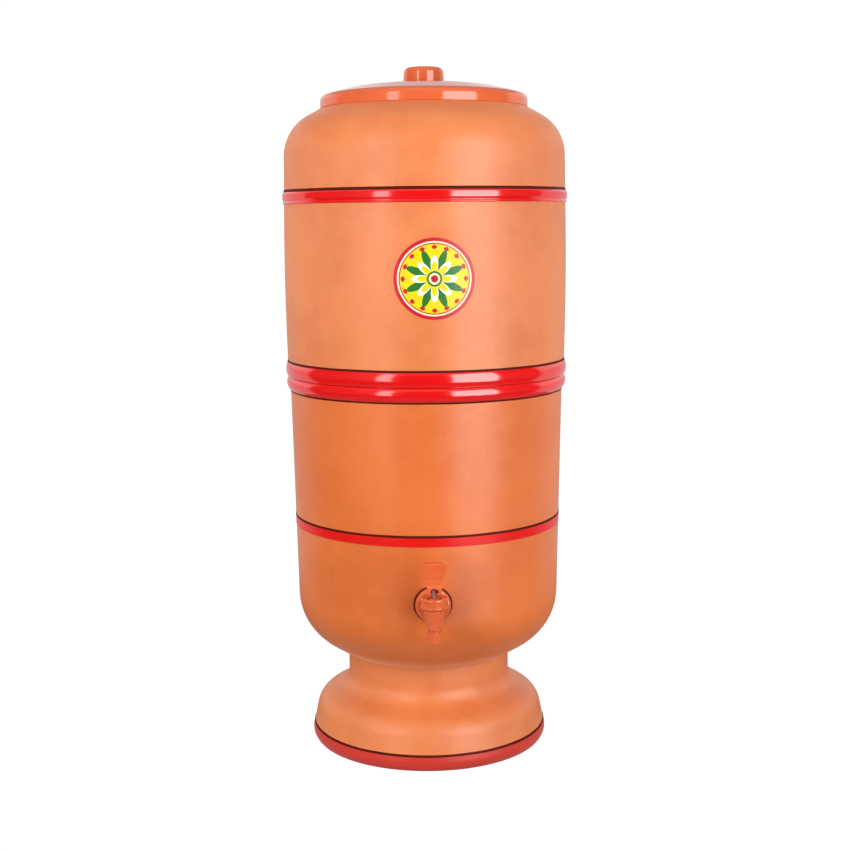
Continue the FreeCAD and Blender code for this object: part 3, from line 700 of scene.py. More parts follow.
@dataclass(frozen=True)
class SoftRubber(Finish):
    """Pressed rubber or silicone.

    The eye sees a soft, faintly dusty skin whose light edge comes from its sheen.
    """

    body: str
    dust: str
    roughness: float = 0.55
    gloss: float = 1.25
    dust_mm: float = 2.2
    dust_edge: tuple[float, float] = (0.4, 0.75)
    dust_share: float = 0.5
    skin_height_mm: float = 0.01
    glow: float = 0.0
    glow_mm: float = 1.5
    sheen: float = 0.2

    def shade(self, tree: bpy.types.NodeTree) -> bpy.types.Node:
        """A dusty mottle over a soft body.

        Args:
            tree: The material's empty tree.

        Returns:
            The shader.
        """
        place = add_node(tree, "TexCoord").outputs["Object"]
        dusty = add_node(tree, "TexNoise", {
            "Vector": place, "Scale": per_metre(self.dust_mm), "Detail": 5.0})
        amount = add_node(tree, "MapRange", {
            "Value": dusty.outputs[0], "From Min": self.dust_edge[0],
            "From Max": self.dust_edge[1], "To Max": self.dust_share})
        colour = add_node(tree, "Mix", {
            MIX_FACTOR: amount.outputs[0], MIX_A: linear(self.body),
            MIX_B: linear(self.dust)}, data_type="RGBA")
        skin = add_node(tree, "Bump", {
            "Strength": 1.0, "Distance": self.skin_height_mm * MM,
            "Height": dusty.outputs[0]})
        return add_node(tree, "BsdfPrincipled", {
            "Base Color": colour.outputs[MIX_RESULT], "Roughness": self.roughness,
            "Subsurface Weight": self.glow, "Subsurface Scale": self.glow_mm * MM,
            "Sheen Weight": self.sheen, "IOR": self.gloss, "Normal": skin.outputs[0]})


@dataclass(frozen=True)
class TurnedSteel(Finish):
    """Stainless steel, turned and lightly polished.

    The eye sees a grey mirror blurred by fine lines.
    """

    body: str = "#c9cac8"
    roughness: float = 0.24
    smoother: float = 0.06
    rougher: float = 0.1
    line_mm: float = 0.35
    line_stretch: float = 0.05
    line_height_mm: float = 0.004

    def shade(self, tree: bpy.types.NodeTree) -> bpy.types.Node:
        """Fine turning lines across the height of the part.

        Args:
            tree: The material's empty tree.

        Returns:
            The shader.
        """
        place = add_node(tree, "TexCoord").outputs["Object"]
        across = add_node(tree, "Mapping", {
            "Vector": place, "Scale": (self.line_stretch, self.line_stretch, 1.0)})
        lines = add_node(tree, "TexNoise", {
            "Vector": across.outputs[0], "Scale": per_metre(self.line_mm), "Detail": 2.0})
        turned = add_node(tree, "Bump", {
            "Strength": 1.0, "Distance": self.line_height_mm * MM,
            "Height": lines.outputs[0]})
        blur = add_node(tree, "MapRange", {
            "Value": lines.outputs[0], "To Min": self.roughness - self.smoother,
            "To Max": self.roughness + self.rougher})
        return add_node(tree, "BsdfPrincipled", {
            "Base Color": linear(self.body), "Metallic": 1.0,
            "Roughness": blur.outputs[0], "Normal": turned.outputs[0]})


@dataclass(frozen=True)
class PrintedMedallion(Finish):
    """Screen-printed transfer film with a round rosette in flat inks.

    The eye sees crisp rings and petals in red, cream, yellow, green and white under a
    thin clear film.  Radii are shares of the medallion's own.  The reach of each leaf
    is given as how far it swings and how far in its trough lies.
    """

    red: str = "#b80d28"
    cream: str = "#efd9b4"
    yellow: str = "#e8c404"
    green: str = "#1f6b25"
    white: str = "#ecebe0"
    petals: int = 8
    cream_edge: float = 0.915
    red_edge: float = 0.875
    yellow_edge: float = 0.845
    bead_ring: float = 0.775
    bead_size: float = 0.055
    beads_per_petal: int = 2
    sepal: tuple[float, float] = (0.50, 0.24)
    petal: tuple[float, float] = (0.40, 0.16)
    petal_heart: tuple[float, float] = (0.30, 0.13)
    green_eye: float = 0.19
    cream_eye: float = 0.14
    red_eye: float = 0.09
    roughness: float = 0.35
    gloss: float = 1.5

    def printed(self, tree: bpy.types.NodeTree, below: bpy.types.NodeSocket | tuple, ink: str,
                value: bpy.types.NodeSocket,
                limit: bpy.types.NodeSocket | float) -> bpy.types.NodeSocket:
        """Prints one ink wherever a value lies under a limit.

        Args:
            tree: The material's tree.
            below: The colour that it is printed over.
            ink: Its hex value.
            value: What is measured.
            limit: What the value has to stay under.

        Returns:
            The colour with the ink on it.
        """
        mask = add_node(tree, "Math", {0: value, 1: limit}, operation="LESS_THAN")
        inked = add_node(tree, "Mix", {
            MIX_FACTOR: mask.outputs[0], MIX_A: below, MIX_B: linear(ink)}, data_type="RGBA")
        return inked.outputs[MIX_RESULT]

    def shade(self, tree: bpy.types.NodeTree) -> bpy.types.Node:
        """Rings from the distance to the centre, petals and beads from the turn.

        Args:
            tree: The material's empty tree.

        Returns:
            The shader.
        """
        sheet = add_node(tree, "UVMap", uv_map=MEDALLION_SHEET).outputs[0]
        centred = add_node(tree, "Mapping", {
            "Vector": sheet, "Location": (-1.0, -1.0, 0.0), "Scale": (2.0, 2.0, 1.0)})
        out = add_node(tree, "VectorMath", {0: centred.outputs[0]}, operation="LENGTH")
        reach = out.outputs["Value"]
        parts = add_node(tree, "SeparateXYZ", {0: centred.outputs[0]})
        turn = add_node(tree, "Math", {
            0: parts.outputs["Y"], 1: parts.outputs["X"]}, operation="ARCTAN2").outputs[0]
        wave = add_node(tree, "Math", {0: turn, 1: self.petals / 2}, operation="MULTIPLY")
        swing = add_node(tree, "Math", {0: wave.outputs[0]}, operation="COSINE")
        swell = add_node(tree, "Math", {0: swing.outputs[0]}, operation="ABSOLUTE")
        leaf = add_node(tree, "Math", {0: swing.outputs[0], 1: 2.0}, operation="POWER")
        trough = add_node(tree, "Math", {0: 1.0, 1: leaf.outputs[0]}, operation="SUBTRACT")
        tips = [
            add_node(tree, "Math", {0: curve.outputs[0], 1: share, 2: least},
                     operation="MULTIPLY_ADD").outputs[0]
            for curve, (share, least) in (
                (trough, self.sepal), (swell, self.petal), (swell, self.petal_heart))]
        spaced = add_node(tree, "Math", {
            0: turn, 1: self.beads_per_petal * self.petals}, operation="MULTIPLY")
        beat = add_node(tree, "Math", {0: spaced.outputs[0]}, operation="COSINE")
        bead = add_node(tree, "Math", {
            0: beat.outputs[0], 1: self.bead_size}, operation="MULTIPLY").outputs[0]
        off = add_node(tree, "Math", {0: reach, 1: self.bead_ring}, operation="SUBTRACT")
        apart = add_node(tree, "Math", {0: off.outputs[0]}, operation="ABSOLUTE").outputs[0]
        colour = linear(self.red)
        for ink, value, limit in (
                (self.cream, reach, self.cream_edge), (self.red, reach, self.red_edge),
                (self.yellow, reach, self.yellow_edge), (self.red, apart, bead),
                (self.green, reach, tips[0]), (self.white, reach, tips[1]),
                (self.yellow, reach, tips[2]), (self.green, reach, self.green_eye),
                (self.cream, reach, self.cream_eye), (self.red, reach, self.red_eye)):
            colour = self.printed(tree, colour, ink, value, limit)
        return add_node(tree, "BsdfPrincipled", {
            "Base Color": colour, "Roughness": self.roughness, "IOR": self.gloss})


CLAY = FiredClay("fired_earthenware", "clay")
RED_ENAMEL = BrushedEnamel("red_oil_enamel", "red_enamel")
BELT_ENAMEL = BrushedEnamel("thin_red_enamel", "red_enamel", full="#d4100d", thin="#c6160f",
                            roughness=0.32, gloss=1.36)
# A duller, pinker red than the bands' enamel, for the foot stripe.
FOOT_ENAMEL = BrushedEnamel("pinker_red_enamel", "red_enamel", full="#bd2a20", thin="#b43223",
                            roughness=0.38, gloss=1.44)
BLACK_ENAMEL = BrushedEnamel("black_oil_enamel", None, full="#3c0601", thin="#591103",
                             roughness=0.55, gloss=1.2)
# A deeper, more saturated clay with a sharper gloss and less sheen, for the lower vessel.
DEEPER_CLAY = FiredClay("deeper_earthenware", "clay", ground="#d0692e", flushed="#c86229",
                      bloom="#d26f3a", roughness=0.36, gloss=1.55, sheen=0.32)
LABEL = PrintedMedallion("printed_transfer_film", "label_film")
TERRACOTTA = MouldedPlastic("terracotta_polypropylene", "terracotta_plastic",
                            body="#cf5f36", deep="#c85930")
WHITE_PLASTIC = MouldedPlastic("white_polypropylene", "white_plastic",
                               body="#e9e8e2", deep="#dedcd3", glow=0.1)
FLOAT_PLASTIC = MouldedPlastic("blown_float_plastic", "float_foam",
                               body="#dfe6ea", deep="#cfd9de", glow=0.15)
STEM_PLASTIC = MouldedPlastic("natural_acetal", "white_plastic",
                              body="#dcc6cc", deep="#c9b2ba")
DARK_RUBBER = SoftRubber("dark_red_rubber", "dark_rubber", body="#601605", dust="#66200e",
                         roughness=0.8, sheen=0.0)
SILICONE = SoftRubber("clear_silicone", "silicone", body="#d9d7d0", dust="#ebe9e4",
                      roughness=0.35, glow=0.3)
CERAMIC = PorousMineral("diatomite_candle", "candle_ceramic", body="#efebe0", pore_shade="#d5cdbc")
CARBON = PorousMineral("pressed_carbon", "carbon", body="#2b2b2b", pore_shade="#0b0b0b")
STEEL = TurnedSteel("turned_steel", "steel")
# Steel tinted dark brown so that the pin matches the shaded slot around it: painted shade.
SHADE_BROWN_STEEL = TurnedSteel("shade_brown_steel", "steel", body="#7a4636", roughness=0.5)


# ------------------------------------------------------------------------ finishing
def dress(piece: bpy.types.Object, name: str, finish: Finish) -> bpy.types.Object:
    """Names, smooths and paints a new piece.

    Args:
        piece: The finished mesh.
        name: The piece's name.
        finish: What its surface is.

    Returns:
        The same piece.
    """
    piece.name = name
    piece.data.name = name
    pick(piece)
    bpy.ops.object.shade_smooth_by_angle(angle=SHARP_TURN)
    apply_modifier(piece, "WEIGHTED_NORMAL", keep_sharp=True, weight=FACE_WEIGHT)
    piece.data.materials.clear()
    piece.data.materials.append(finish.material())
    log.info("made %s in %s, %d faces", name, finish.name, len(piece.data.polygons))
    return piece


def softened(node: str, body: str, finish: Finish, width: float) -> bpy.types.Object:
    """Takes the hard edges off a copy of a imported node.

    Args:
        node: The CAD node, which the copy stands for.
        body: The body that carries it.
        finish: What its surface is.
        width: Width of its rounded edges in millimetres.

    Returns:
        The new piece.
    """
    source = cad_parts[node]
    piece = source.copy()
    piece.data = source.data.copy()
    piece.parent = None
    piece.matrix_world = Matrix()
    for key in [key for key in piece.keys() if key.startswith("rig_")]:
        del piece[key]
    bpy.context.scene.collection.objects.link(piece)
    pick(piece)
    bpy.ops.mesh.customdata_custom_splitnormals_clear()
    bpy.ops.object.mode_set(mode="EDIT")
    bpy.ops.mesh.select_all(action="SELECT")
    bpy.ops.mesh.remove_doubles(threshold=MERGE_DISTANCE)
    bpy.ops.mesh.dissolve_limited(angle_limit=FLAT_TURN)
    bpy.ops.mesh.normals_make_consistent(inside=False)
    bpy.ops.object.mode_set(mode="OBJECT")
    apply_modifier(piece, "BEVEL", width=width * MM, segments=EDGE_FACETS,
                   limit_method="ANGLE", angle_limit=EDGE_TURN)
    dress(piece, node + "_soft", finish)
    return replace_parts(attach(piece, body), node)


def dress_node(node: str, finish: Finish) -> None:
    """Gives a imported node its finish.

    Args:
        node: The CAD node.
        finish: What its surface is.
    """
    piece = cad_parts[node]
    piece.data.materials.clear()
    piece.data.materials.append(finish.material())
    log.info("dressed %s in %s", node, finish.name)


# -------------------------------------------------------------------------- the clay
@dataclass
class ClayBody:
    """The three thrown pieces: foot, lower vessel and upper vessel.

    The heights in belly, swell and shoulder are measured from the joint below the first
    two and from the mouth above the third.
    """

    wall: float = 11.0
    throat_height: float = 50.3
    throat_blend: float = 16.0
    flare: Corner = Corner(97.4, 37.4, 20.0)
    heel: Corner = Corner(104.1, 5.0, 9.8)
    neck_radius: float = 71.0
    base_radius: float = 100.6
    floor_radius: float = 73.8
    belly: Corner = Corner(113.5, 24.6, 50.0)
    rim_radius: float = 117.9
    seat_radius: float = 119.4
    swell: Corner = Corner(121.2, 85.0, 2500.0)
    shoulder: Corner = Corner(119.1, 17.1, 38.6)
    mouth_radius: float = 87.4
    mouth_blend: float = 0.8
    floor: float = 14.0
    floor_blend: float = 12.0
    nest_radius: float = 105.4
    edge: float = 0.7
    candle_hole: float = 7.0
    tap_hole: float = 8.5
    foot_top: float = field(init=False)
    seam: float = field(init=False)
    mouth: float = field(init=False)
    underside: float = field(init=False)

    def __post_init__(self) -> None:
        """Reads the heights of the joints between the pieces from the frame."""
        self.foot_top = box_mm("pedestal_foot")[1].z
        self.seam = box_mm("lower_vessel")[1].z
        self.mouth = box_mm("upper_vessel")[1].z
        self.underside = box_mm("upper_vessel")[0].z

    def foot_path(self) -> list[Corner]:
        """Outer section of the foot, from its neck down to the floor.

        Returns:
            The section's corners.
        """
        return [
            Corner(self.neck_radius, self.foot_top),
            Corner(self.neck_radius, self.throat_height, self.throat_blend),
            self.flare, self.heel, Corner(self.base_radius, 0),
        ]

    def lower_path(self) -> list[Corner]:
        """Outer section of the lower vessel, from the axis up to its rim.

        Returns:
            The section's corners.
        """
        return [
            Corner(0, self.foot_top), Corner(self.floor_radius, self.foot_top),
            Corner(self.belly.across, self.foot_top + self.belly.up, self.belly.blend),
            Corner(self.rim_radius, self.seam),
        ]

    def upper_path(self) -> list[Corner]:
        """Outer section of the upper vessel, from its seat up to the mouth.

        Returns:
            The section's corners.
        """
        return [
            Corner(self.seat_radius, self.seam),
            Corner(self.swell.across, self.seam + self.swell.up, self.swell.blend),
            Corner(self.shoulder.across, self.mouth - self.shoulder.up, self.shoulder.blend),
            Corner(self.mouth_radius, self.mouth),
        ]

    def make_foot(self) -> None:
        """The flared foot, open below."""
        outer = self.foot_path()
        inner = beside(outer[:3] + [Corner(self.heel.across, 0)], -self.wall)
        above, below = inner[-2], inner[-1]
        share = above.up / (above.up - below.up)
        inner[-1] = Corner(above.across + (below.across - above.across) * share, 0)
        ring = outer[:-1] + [Corner(self.base_radius, 0, self.edge)]
        ring += [Corner(inner[-1].across, 0, self.edge)] + inner[-2::-1]
        piece = dress(lathed(rounded(ring, closed=True)), "foot_clay", CLAY)
        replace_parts(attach(piece, "reservoir"), "pedestal_foot")

    def make_lower(self, tap_height: float) -> None:
        """The lower vessel with the hole for the tap.

        Args:
            tap_height: Height of the tap's shank.
        """
        outer = self.lower_path()
        inner = beside(outer, self.wall)
        section = outer[:-1] + [Corner(outer[-1].across, self.seam, self.edge)]
        section += [Corner(inner[-1].across, self.seam, self.edge)]
        section += inner[-2:0:-1] + [Corner(0, inner[0].up)]
        piece = lathed(rounded(section))
        wall = Vector((0, -radius_at(outer, tap_height), tap_height))
        hole = drill(self.tap_hole, 4 * self.wall, wall, Turning.FORWARD)
        combine(piece, Fitting.CUT, hole)
        dress(piece, "lower_vessel_clay", DEEPER_CLAY)
        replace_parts(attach(piece, "reservoir"), "lower_vessel")

    def make_upper(self, candles: list[float]) -> None:
        """The upper vessel with a hole in its floor for each candle.

        Args:
            candles: The X position of each candle.
        """
        outer = self.upper_path()
        inner = beside(outer, self.wall)
        floor_top = self.underside + self.floor
        mouth_in = inner[-1].across
        section = [
            Corner(0, self.underside), Corner(self.nest_radius, self.underside, self.edge),
            Corner(self.nest_radius, self.seam), Corner(self.seat_radius, self.seam, self.edge),
        ]
        section += outer[1:-1] + [Corner(self.mouth_radius, self.mouth, self.mouth_blend)]
        section += [Corner(mouth_in, self.mouth, self.mouth_blend)] + inner[-1:0:-1]
        section += [Corner(inner[0].across, floor_top, self.floor_blend), Corner(0, floor_top)]
        piece = lathed(rounded(section))
        for x in candles:
            centre = Vector((x, 0, floor_top))
            hole = drill(self.candle_hole, 4 * self.floor, centre, Turning.UPRIGHT)
            combine(piece, Fitting.CUT, hole)
        dress(piece, "upper_vessel_clay", CLAY)
        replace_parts(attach(piece, "filter_vessel"), "upper_vessel")


# --------------------------------------------------------------------- bands and lines
@dataclass
class PaintedBands:
    """Raised red bands, flush red stripes and the black lines that edge them.

    The shoulder band's lip, crease and face are given by the share of the whole by which
    they stand out, and by their height over its lower edge, or under its upper one where
    that is less than nothing.  The wander lists how strong each wave of a painted edge
    is, and how many there are round the pot.
    """

    clay: ClayBody
    root: float = 0.6
    coat: float = 0.3
    line_width: float = 1.4
    line_overlap: float = 0.6
    line_coat: float = 0.16
    line_lap: float = 0.1
    line_edge: float = 0.1
    shoulder_clear: float = 0.9
    band_play: float = 0.05
    band_foot_coat: float = 0.2
    band_foot_edge: float = 0.15
    lip: Corner = Corner(0.95, 0.5, 0.7)
    crease: Corner = Corner(0.45, -7.8, 0.8)
    face_foot: Corner = Corner(1.0, -6.0, 1.2)
    face_head: Corner = Corner(1.0, -1.2, 1.8)
    band_head_coat: float = 0.25
    band_head_edge: float = 0.4
    shoulder_fillet: float = 2.1
    upper_fillet: float = 1.35
    lower_fillet: float = 1.0
    fillet_rise: float = 0.6
    fillet_overlap: float = 0.45
    fillet_edge: float = 0.12
    bead_play: float = 0.04
    seam_gap: float = 0.2
    seam_depth: float = 0.85
    groove_coat: float = 0.05
    unevenness: float = 0.16
    wander: tuple[tuple[float, float], ...] = ((1.0, 3.0), (0.5, 14.0))
    steps: int = 256

    def waver(self, piece: bpy.types.Object, seed: float) -> None:
        """Lets a painted edge wander up and down a little, as a brush does.

        Args:
            piece: The ring to disturb.
            seed: What sets its wander apart from another ring's.
        """
        for vertex in piece.data.vertices:
            turn = math.atan2(vertex.co.y, vertex.co.x)
            side = 1.0 if vertex.co.z > seed * MM else -1.0
            drift = 0.0
            for share, waves in self.wander:
                spot = Vector((waves * math.cos(turn), waves * math.sin(turn), seed + side))
                drift += share * noise.noise(spot)
            vertex.co.z += self.unevenness * MM * drift

    def ring(self, name: str, section: list[Vector], finish: Finish, body: str,
             nodes: tuple[str, ...] = (), wander: float | None = None) -> None:
        """One painted ring.

        Args:
            name: The piece's name.
            section: Points of its closed section.
            finish: Its paint.
            body: The body that carries it.
            nodes: The CAD nodes that it stands for.
            wander: Height of its middle if its edges wander.
        """
        piece = lathed(section, steps=self.steps)
        if wander is not None:
            self.waver(piece, wander)
        dress(piece, name, finish)
        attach(piece, body)
        if nodes:
            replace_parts(piece, *nodes)

    def line(self, name: str, path: list[Corner], near: Corner, far: Corner, body: str) -> None:
        """One black line that runs beside a band or a stripe.

        Args:
            name: The piece's name.
            path: Section of the wall that it is painted on.
            near: Its edge at the red, by how far it stands off the wall and its height.
            far: Its other edge, given in the same way.
            body: The body that carries it.
        """
        wall_near, wall_far = radius_at(path, near.up), radius_at(path, far.up)
        section = [
            Corner(wall_near - self.root, near.up),
            Corner(wall_near + near.across, near.up, near.blend),
            Corner(wall_far + far.across, far.up, far.blend),
            Corner(wall_far - self.root, far.up),
        ]
        if near.up > far.up:
            section.reverse()
        self.ring(name, rounded(section, closed=True), BLACK_ENAMEL, body,
                  wander=(far.up + near.up) / 2)

    def fillet_line(self, name: str, path: list[Corner], edge: float, width: float,
                    body: str) -> None:
        """A black line that fills the hollow between a raised band and the wall.

        Args:
            name: The piece's name.
            path: Section of the wall.
            edge: Height of the band's edge.
            width: The line's width, less than nothing where it runs below the band.
            body: The body that carries it.
        """
        inwards = math.copysign(self.fillet_overlap, width)
        near = Corner(self.fillet_rise, edge - inwards, self.fillet_edge)
        far = Corner(self.line_coat, edge + width, self.fillet_edge)
        self.line(name, path, near, far, body)

    def make_shoulder_band(self) -> None:
        """The band under the shoulder: a full face above a narrower lip."""
        low, high = (corner.z for corner in box_mm("shoulder_band"))
        low += self.shoulder_clear
        path = self.clay.upper_path()
        foot, head = radius_at(path, low), radius_at(path, high)
        middle = (foot + head) / 2
        proud = box_mm("shoulder_band")[1].x - middle - self.band_play
        section = [
            Corner(foot - self.root, low),
            Corner(foot + self.band_foot_coat, low, self.band_foot_edge),
            Corner(foot + self.lip.across * proud, low + self.lip.up, self.lip.blend),
        ]
        for wall, corner in ((middle, self.crease), (middle, self.face_foot),
                             (head, self.face_head)):
            across = wall + corner.across * proud
            section.append(Corner(across, high + corner.up, corner.blend))
        section += [
            Corner(head + self.band_head_coat, high, self.band_head_edge),
            Corner(head - self.root, high),
        ]
        self.ring("shoulder_band_enamel", rounded(section, closed=True), RED_ENAMEL,
                  "filter_vessel", ("shoulder_band",))
        self.fillet_line("shoulder_line", path, high, self.shoulder_fillet, "filter_vessel")

    def make_bead(self, node: str, path: list[Corner], line_side: int, body: str) -> None:
        """One rolled bead at the seam.

        Args:
            node: The bead's CAD node.
            path: Section of the wall that it sits on.
            line_side: 1 where its black line runs above it, -1 where below.
            body: The body that carries it.
        """
        low, high = (corner.z for corner in box_mm(node))
        edge, seam = (high, low) if line_side > 0 else (low, high)
        lip = seam + line_side * self.seam_gap
        outer = Vector((radius_at(path, edge), edge))
        inner = Vector((radius_at(path, lip) + self.seam_depth, lip))
        rise = box_mm(node)[1].x - (outer.x + inner.x) / 2 - self.bead_play
        wall = radius_at(path, seam)
        root = Vector((outer.x - self.root, edge))
        groove = [Vector((wall - self.root, seam)), Vector((wall + self.groove_coat, seam)),
                  Vector((wall + self.groove_coat, lip))]
        if line_side > 0:
            section = [*groove, *bulged(inner, outer, rise), root]
        else:
            section = [root, *bulged(outer, inner, rise), *groove[::-1]]
        self.ring(node + "_enamel", section, RED_ENAMEL, body, (node,))
        width = self.upper_fillet if line_side > 0 else -self.lower_fillet
        self.fillet_line(node + "_line", path, edge, width, body)

    def make_stripe(self, node: str, path: list[Corner], finish: Finish, body: str) -> None:
        """One flush painted stripe with its black line above it.

        Args:
            node: The stripe's CAD node.
            path: Section of the wall that it is painted on.
            finish: Its paint.
            body: The body that carries it.
        """
        low, high = (corner.z for corner in box_mm(node))
        wall = [point for point in rounded(path) if low < point.y < high]
        wall = sorted([Vector((radius_at(path, low), low)), *wall,
                       Vector((radius_at(path, high), high))], key=lambda point: point.y)
        corners = [Corner(point.x, point.y) for point in wall]
        outline = beside(corners, -self.coat) + beside(corners, self.root)[::-1]
        section = [Vector((corner.across, max(corner.up, low))) for corner in outline]
        self.ring(node + "_enamel", section, finish, body, (node,))
        near = Corner(self.coat + self.line_lap, high - self.line_overlap, self.line_edge)
        far = Corner(self.line_coat, high + self.line_width, self.line_edge)
        self.line(node + "_line", path, near, far, body)

    def make_all(self) -> None:
        """Every band, stripe and line."""
        upper, lower = self.clay.upper_path(), self.clay.lower_path()
        self.make_shoulder_band()
        self.make_bead("upper_rim_bead", upper, 1, "filter_vessel")
        self.make_bead("lower_rim_bead", lower, -1, "reservoir")
        self.make_stripe("belt_stripe", lower, BELT_ENAMEL, "reservoir")
        self.make_stripe("foot_stripe", self.clay.foot_path(), FOOT_ENAMEL, "reservoir")


# -------------------------------------------------------------------------- the label
@dataclass
class FrontMedallion:
    """The round printed film on the front of the upper vessel."""

    clay: ClayBody
    rings: int = 14
    facets: int = 96
    film: float = 0.3
    inset: float = 0.05

    def make(self) -> None:
        """A disc of many rings, laid on the curved wall."""
        low, high = box_mm("front_label")
        radius = (high.z - low.z) / 2 - self.inset
        middle = (low + high) / 2
        turn = math.atan2(middle.x, -low.y)
        bpy.ops.mesh.primitive_circle_add(
            vertices=self.facets, radius=radius * MM, fill_type="NGON",
            rotation=(math.radians(90), 0, 0))
        bpy.ops.object.transform_apply(location=True, rotation=True, scale=True)
        bpy.ops.object.mode_set(mode="EDIT")
        bpy.ops.mesh.select_all(action="SELECT")
        for _ in range(self.rings):
            bpy.ops.mesh.inset(thickness=radius * MM / (self.rings + 1))
        bpy.ops.mesh.poke()
        bpy.ops.object.mode_set(mode="OBJECT")
        piece = bpy.context.object
        self.print_sheet(piece, radius)
        self.lay_on_wall(piece, middle.z, turn)
        apply_modifier(piece, "SOLIDIFY", thickness=self.film * MM, offset=-1.0)
        dress(piece, "front_medallion", LABEL)
        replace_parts(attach(piece, "filter_vessel"), "front_label")

    def print_sheet(self, piece: bpy.types.Object, radius: float) -> None:
        """Gives the flat disc the sheet that its print follows.

        Args:
            piece: The disc, still flat.
            radius: Its radius.
        """
        sheet = piece.data.uv_layers.new(name=MEDALLION_SHEET)
        for loop in piece.data.loops:
            spot = piece.data.vertices[loop.vertex_index].co / (2 * radius * MM)
            sheet.data[loop.index].uv = (0.5 + spot.x, 0.5 + spot.z)

    def lay_on_wall(self, piece: bpy.types.Object, height: float, turn: float) -> None:
        """Bends the flat disc to the wall.

        Args:
            piece: The disc, upright and centred on the origin.
            height: Height of its centre.
            turn: Its turn about the upright axis towards +X.
        """
        path = self.clay.upper_path()
        about = Matrix.Rotation(turn, 3, "Z")
        for vertex in piece.data.vertices:
            z = height + vertex.co.z / MM
            wall = radius_at(path, z) + self.film + self.inset
            x = vertex.co.x / MM
            vertex.co = about @ Vector((x, -math.sqrt(wall * wall - x * x), z)) * MM


# ---------------------------------------------------------------------------- the lid
@dataclass
class MouldedLid:
    """The domed lid with its knob, screw and washer."""

    wall: float = 3.0
    radius: float = 88.0
    edge_height: float = 10.1
    edge_blend: float = 5.8
    brow: Corner = Corner(60.0, 17.1, 60.0)
    crown: Corner = Corner(22.0, 21.6, 40.0)
    spigot_depth: float = 10.0
    spigot_radius: float = 80.38
    root_blend: float = 0.8
    skin: float = 0.01
    washer_seat: float = 9.0
    seat_draft: float = 0.6
    soft_edge: float = 0.5
    fine_edge: float = 0.3
    knob_radius: float = 17.3
    knob_draft: float = 0.7
    knob_crown: float = 1.3
    knob_blend: float = 4.5
    knob_wall: float = 2.6
    knob_mouth_edge: float = 0.4
    knob_room_blend: float = 1.0
    knob_steps: int = 128
    boss_radius: float = 5.5
    screw_room: float = 2.05
    screw_end_room: float = 1.0
    screw_edge: float = 0.25
    washer_edge: float = 0.15

    def make_cover(self, mouth: float) -> None:
        """The dome, its skirt and the ring that enters the mouth.

        Args:
            mouth: Height of the clay rim.
        """
        crown_z = mouth + self.crown.up
        washer_z = box_mm("lid_knob_washer")[1].z
        whole = [
            Corner(self.screw_room, crown_z),
            Corner(self.crown.across, crown_z, self.crown.blend),
            Corner(self.brow.across, mouth + self.brow.up, self.brow.blend),
            Corner(self.radius, mouth + self.edge_height, self.edge_blend),
            Corner(self.radius, mouth),
        ]
        under = beside(whole, -self.wall)
        skirt_in = under[-2].across
        spigot_out, spigot_in = self.spigot_radius, self.spigot_radius - self.wall
        section = [
            *whole[:-1], Corner(self.radius, mouth, self.soft_edge),
            Corner(self.radius - self.wall, mouth, self.soft_edge),
            Corner(skirt_in, height_at(under, skirt_in - self.skin), self.root_blend),
            Corner(spigot_out, height_at(under, spigot_out), self.root_blend),
            Corner(spigot_out, mouth - self.spigot_depth, self.soft_edge),
            Corner(spigot_in, mouth - self.spigot_depth, self.soft_edge),
            Corner(spigot_in, height_at(under, spigot_in), self.root_blend),
            under[2], under[1], Corner(self.washer_seat + self.seat_draft, under[0].up),
            Corner(self.washer_seat, washer_z, self.fine_edge),
            Corner(self.screw_room, washer_z),
        ]
        piece = dress(lathed(rounded(section, closed=True)), "lid_cover", TERRACOTTA)
        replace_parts(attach(piece, "lid"), "lid")

    def make_knob(self) -> None:
        """The hollow knob with its centre boss."""
        foot, top = (corner.z for corner in box_mm("lid_knob"))
        edge = top - self.knob_crown
        top_radius = self.knob_radius - self.knob_draft
        room = top_radius - self.knob_wall
        roof = edge - self.knob_wall
        tip = box_mm("lid_knob_screw")[1].z + self.screw_end_room
        section = [
            Corner(0, top), Corner(top_radius, edge, self.knob_blend),
            Corner(self.knob_radius, foot, self.fine_edge),
            Corner(room, foot, self.knob_mouth_edge),
            Corner(room, roof, self.knob_room_blend),
            Corner(self.boss_radius, roof, self.knob_room_blend),
            Corner(self.boss_radius, foot, self.fine_edge),
            Corner(self.screw_room, foot, self.fine_edge),
            Corner(self.screw_room, tip), Corner(0, tip),
        ]
        piece = lathed(rounded(section), steps=self.knob_steps)
        dress(piece, "lid_knob_moulding", TERRACOTTA)
        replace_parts(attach(piece, "lid"), "lid_knob")

    def make_all(self, mouth: float) -> None:
        """Every piece of the lid.

        Args:
            mouth: Height of the clay rim.
        """
        self.make_cover(mouth)
        self.make_knob()
        softened("lid_knob_screw", "lid", STEEL, self.screw_edge)
        softened("lid_knob_washer", "lid", STEEL, self.washer_edge)


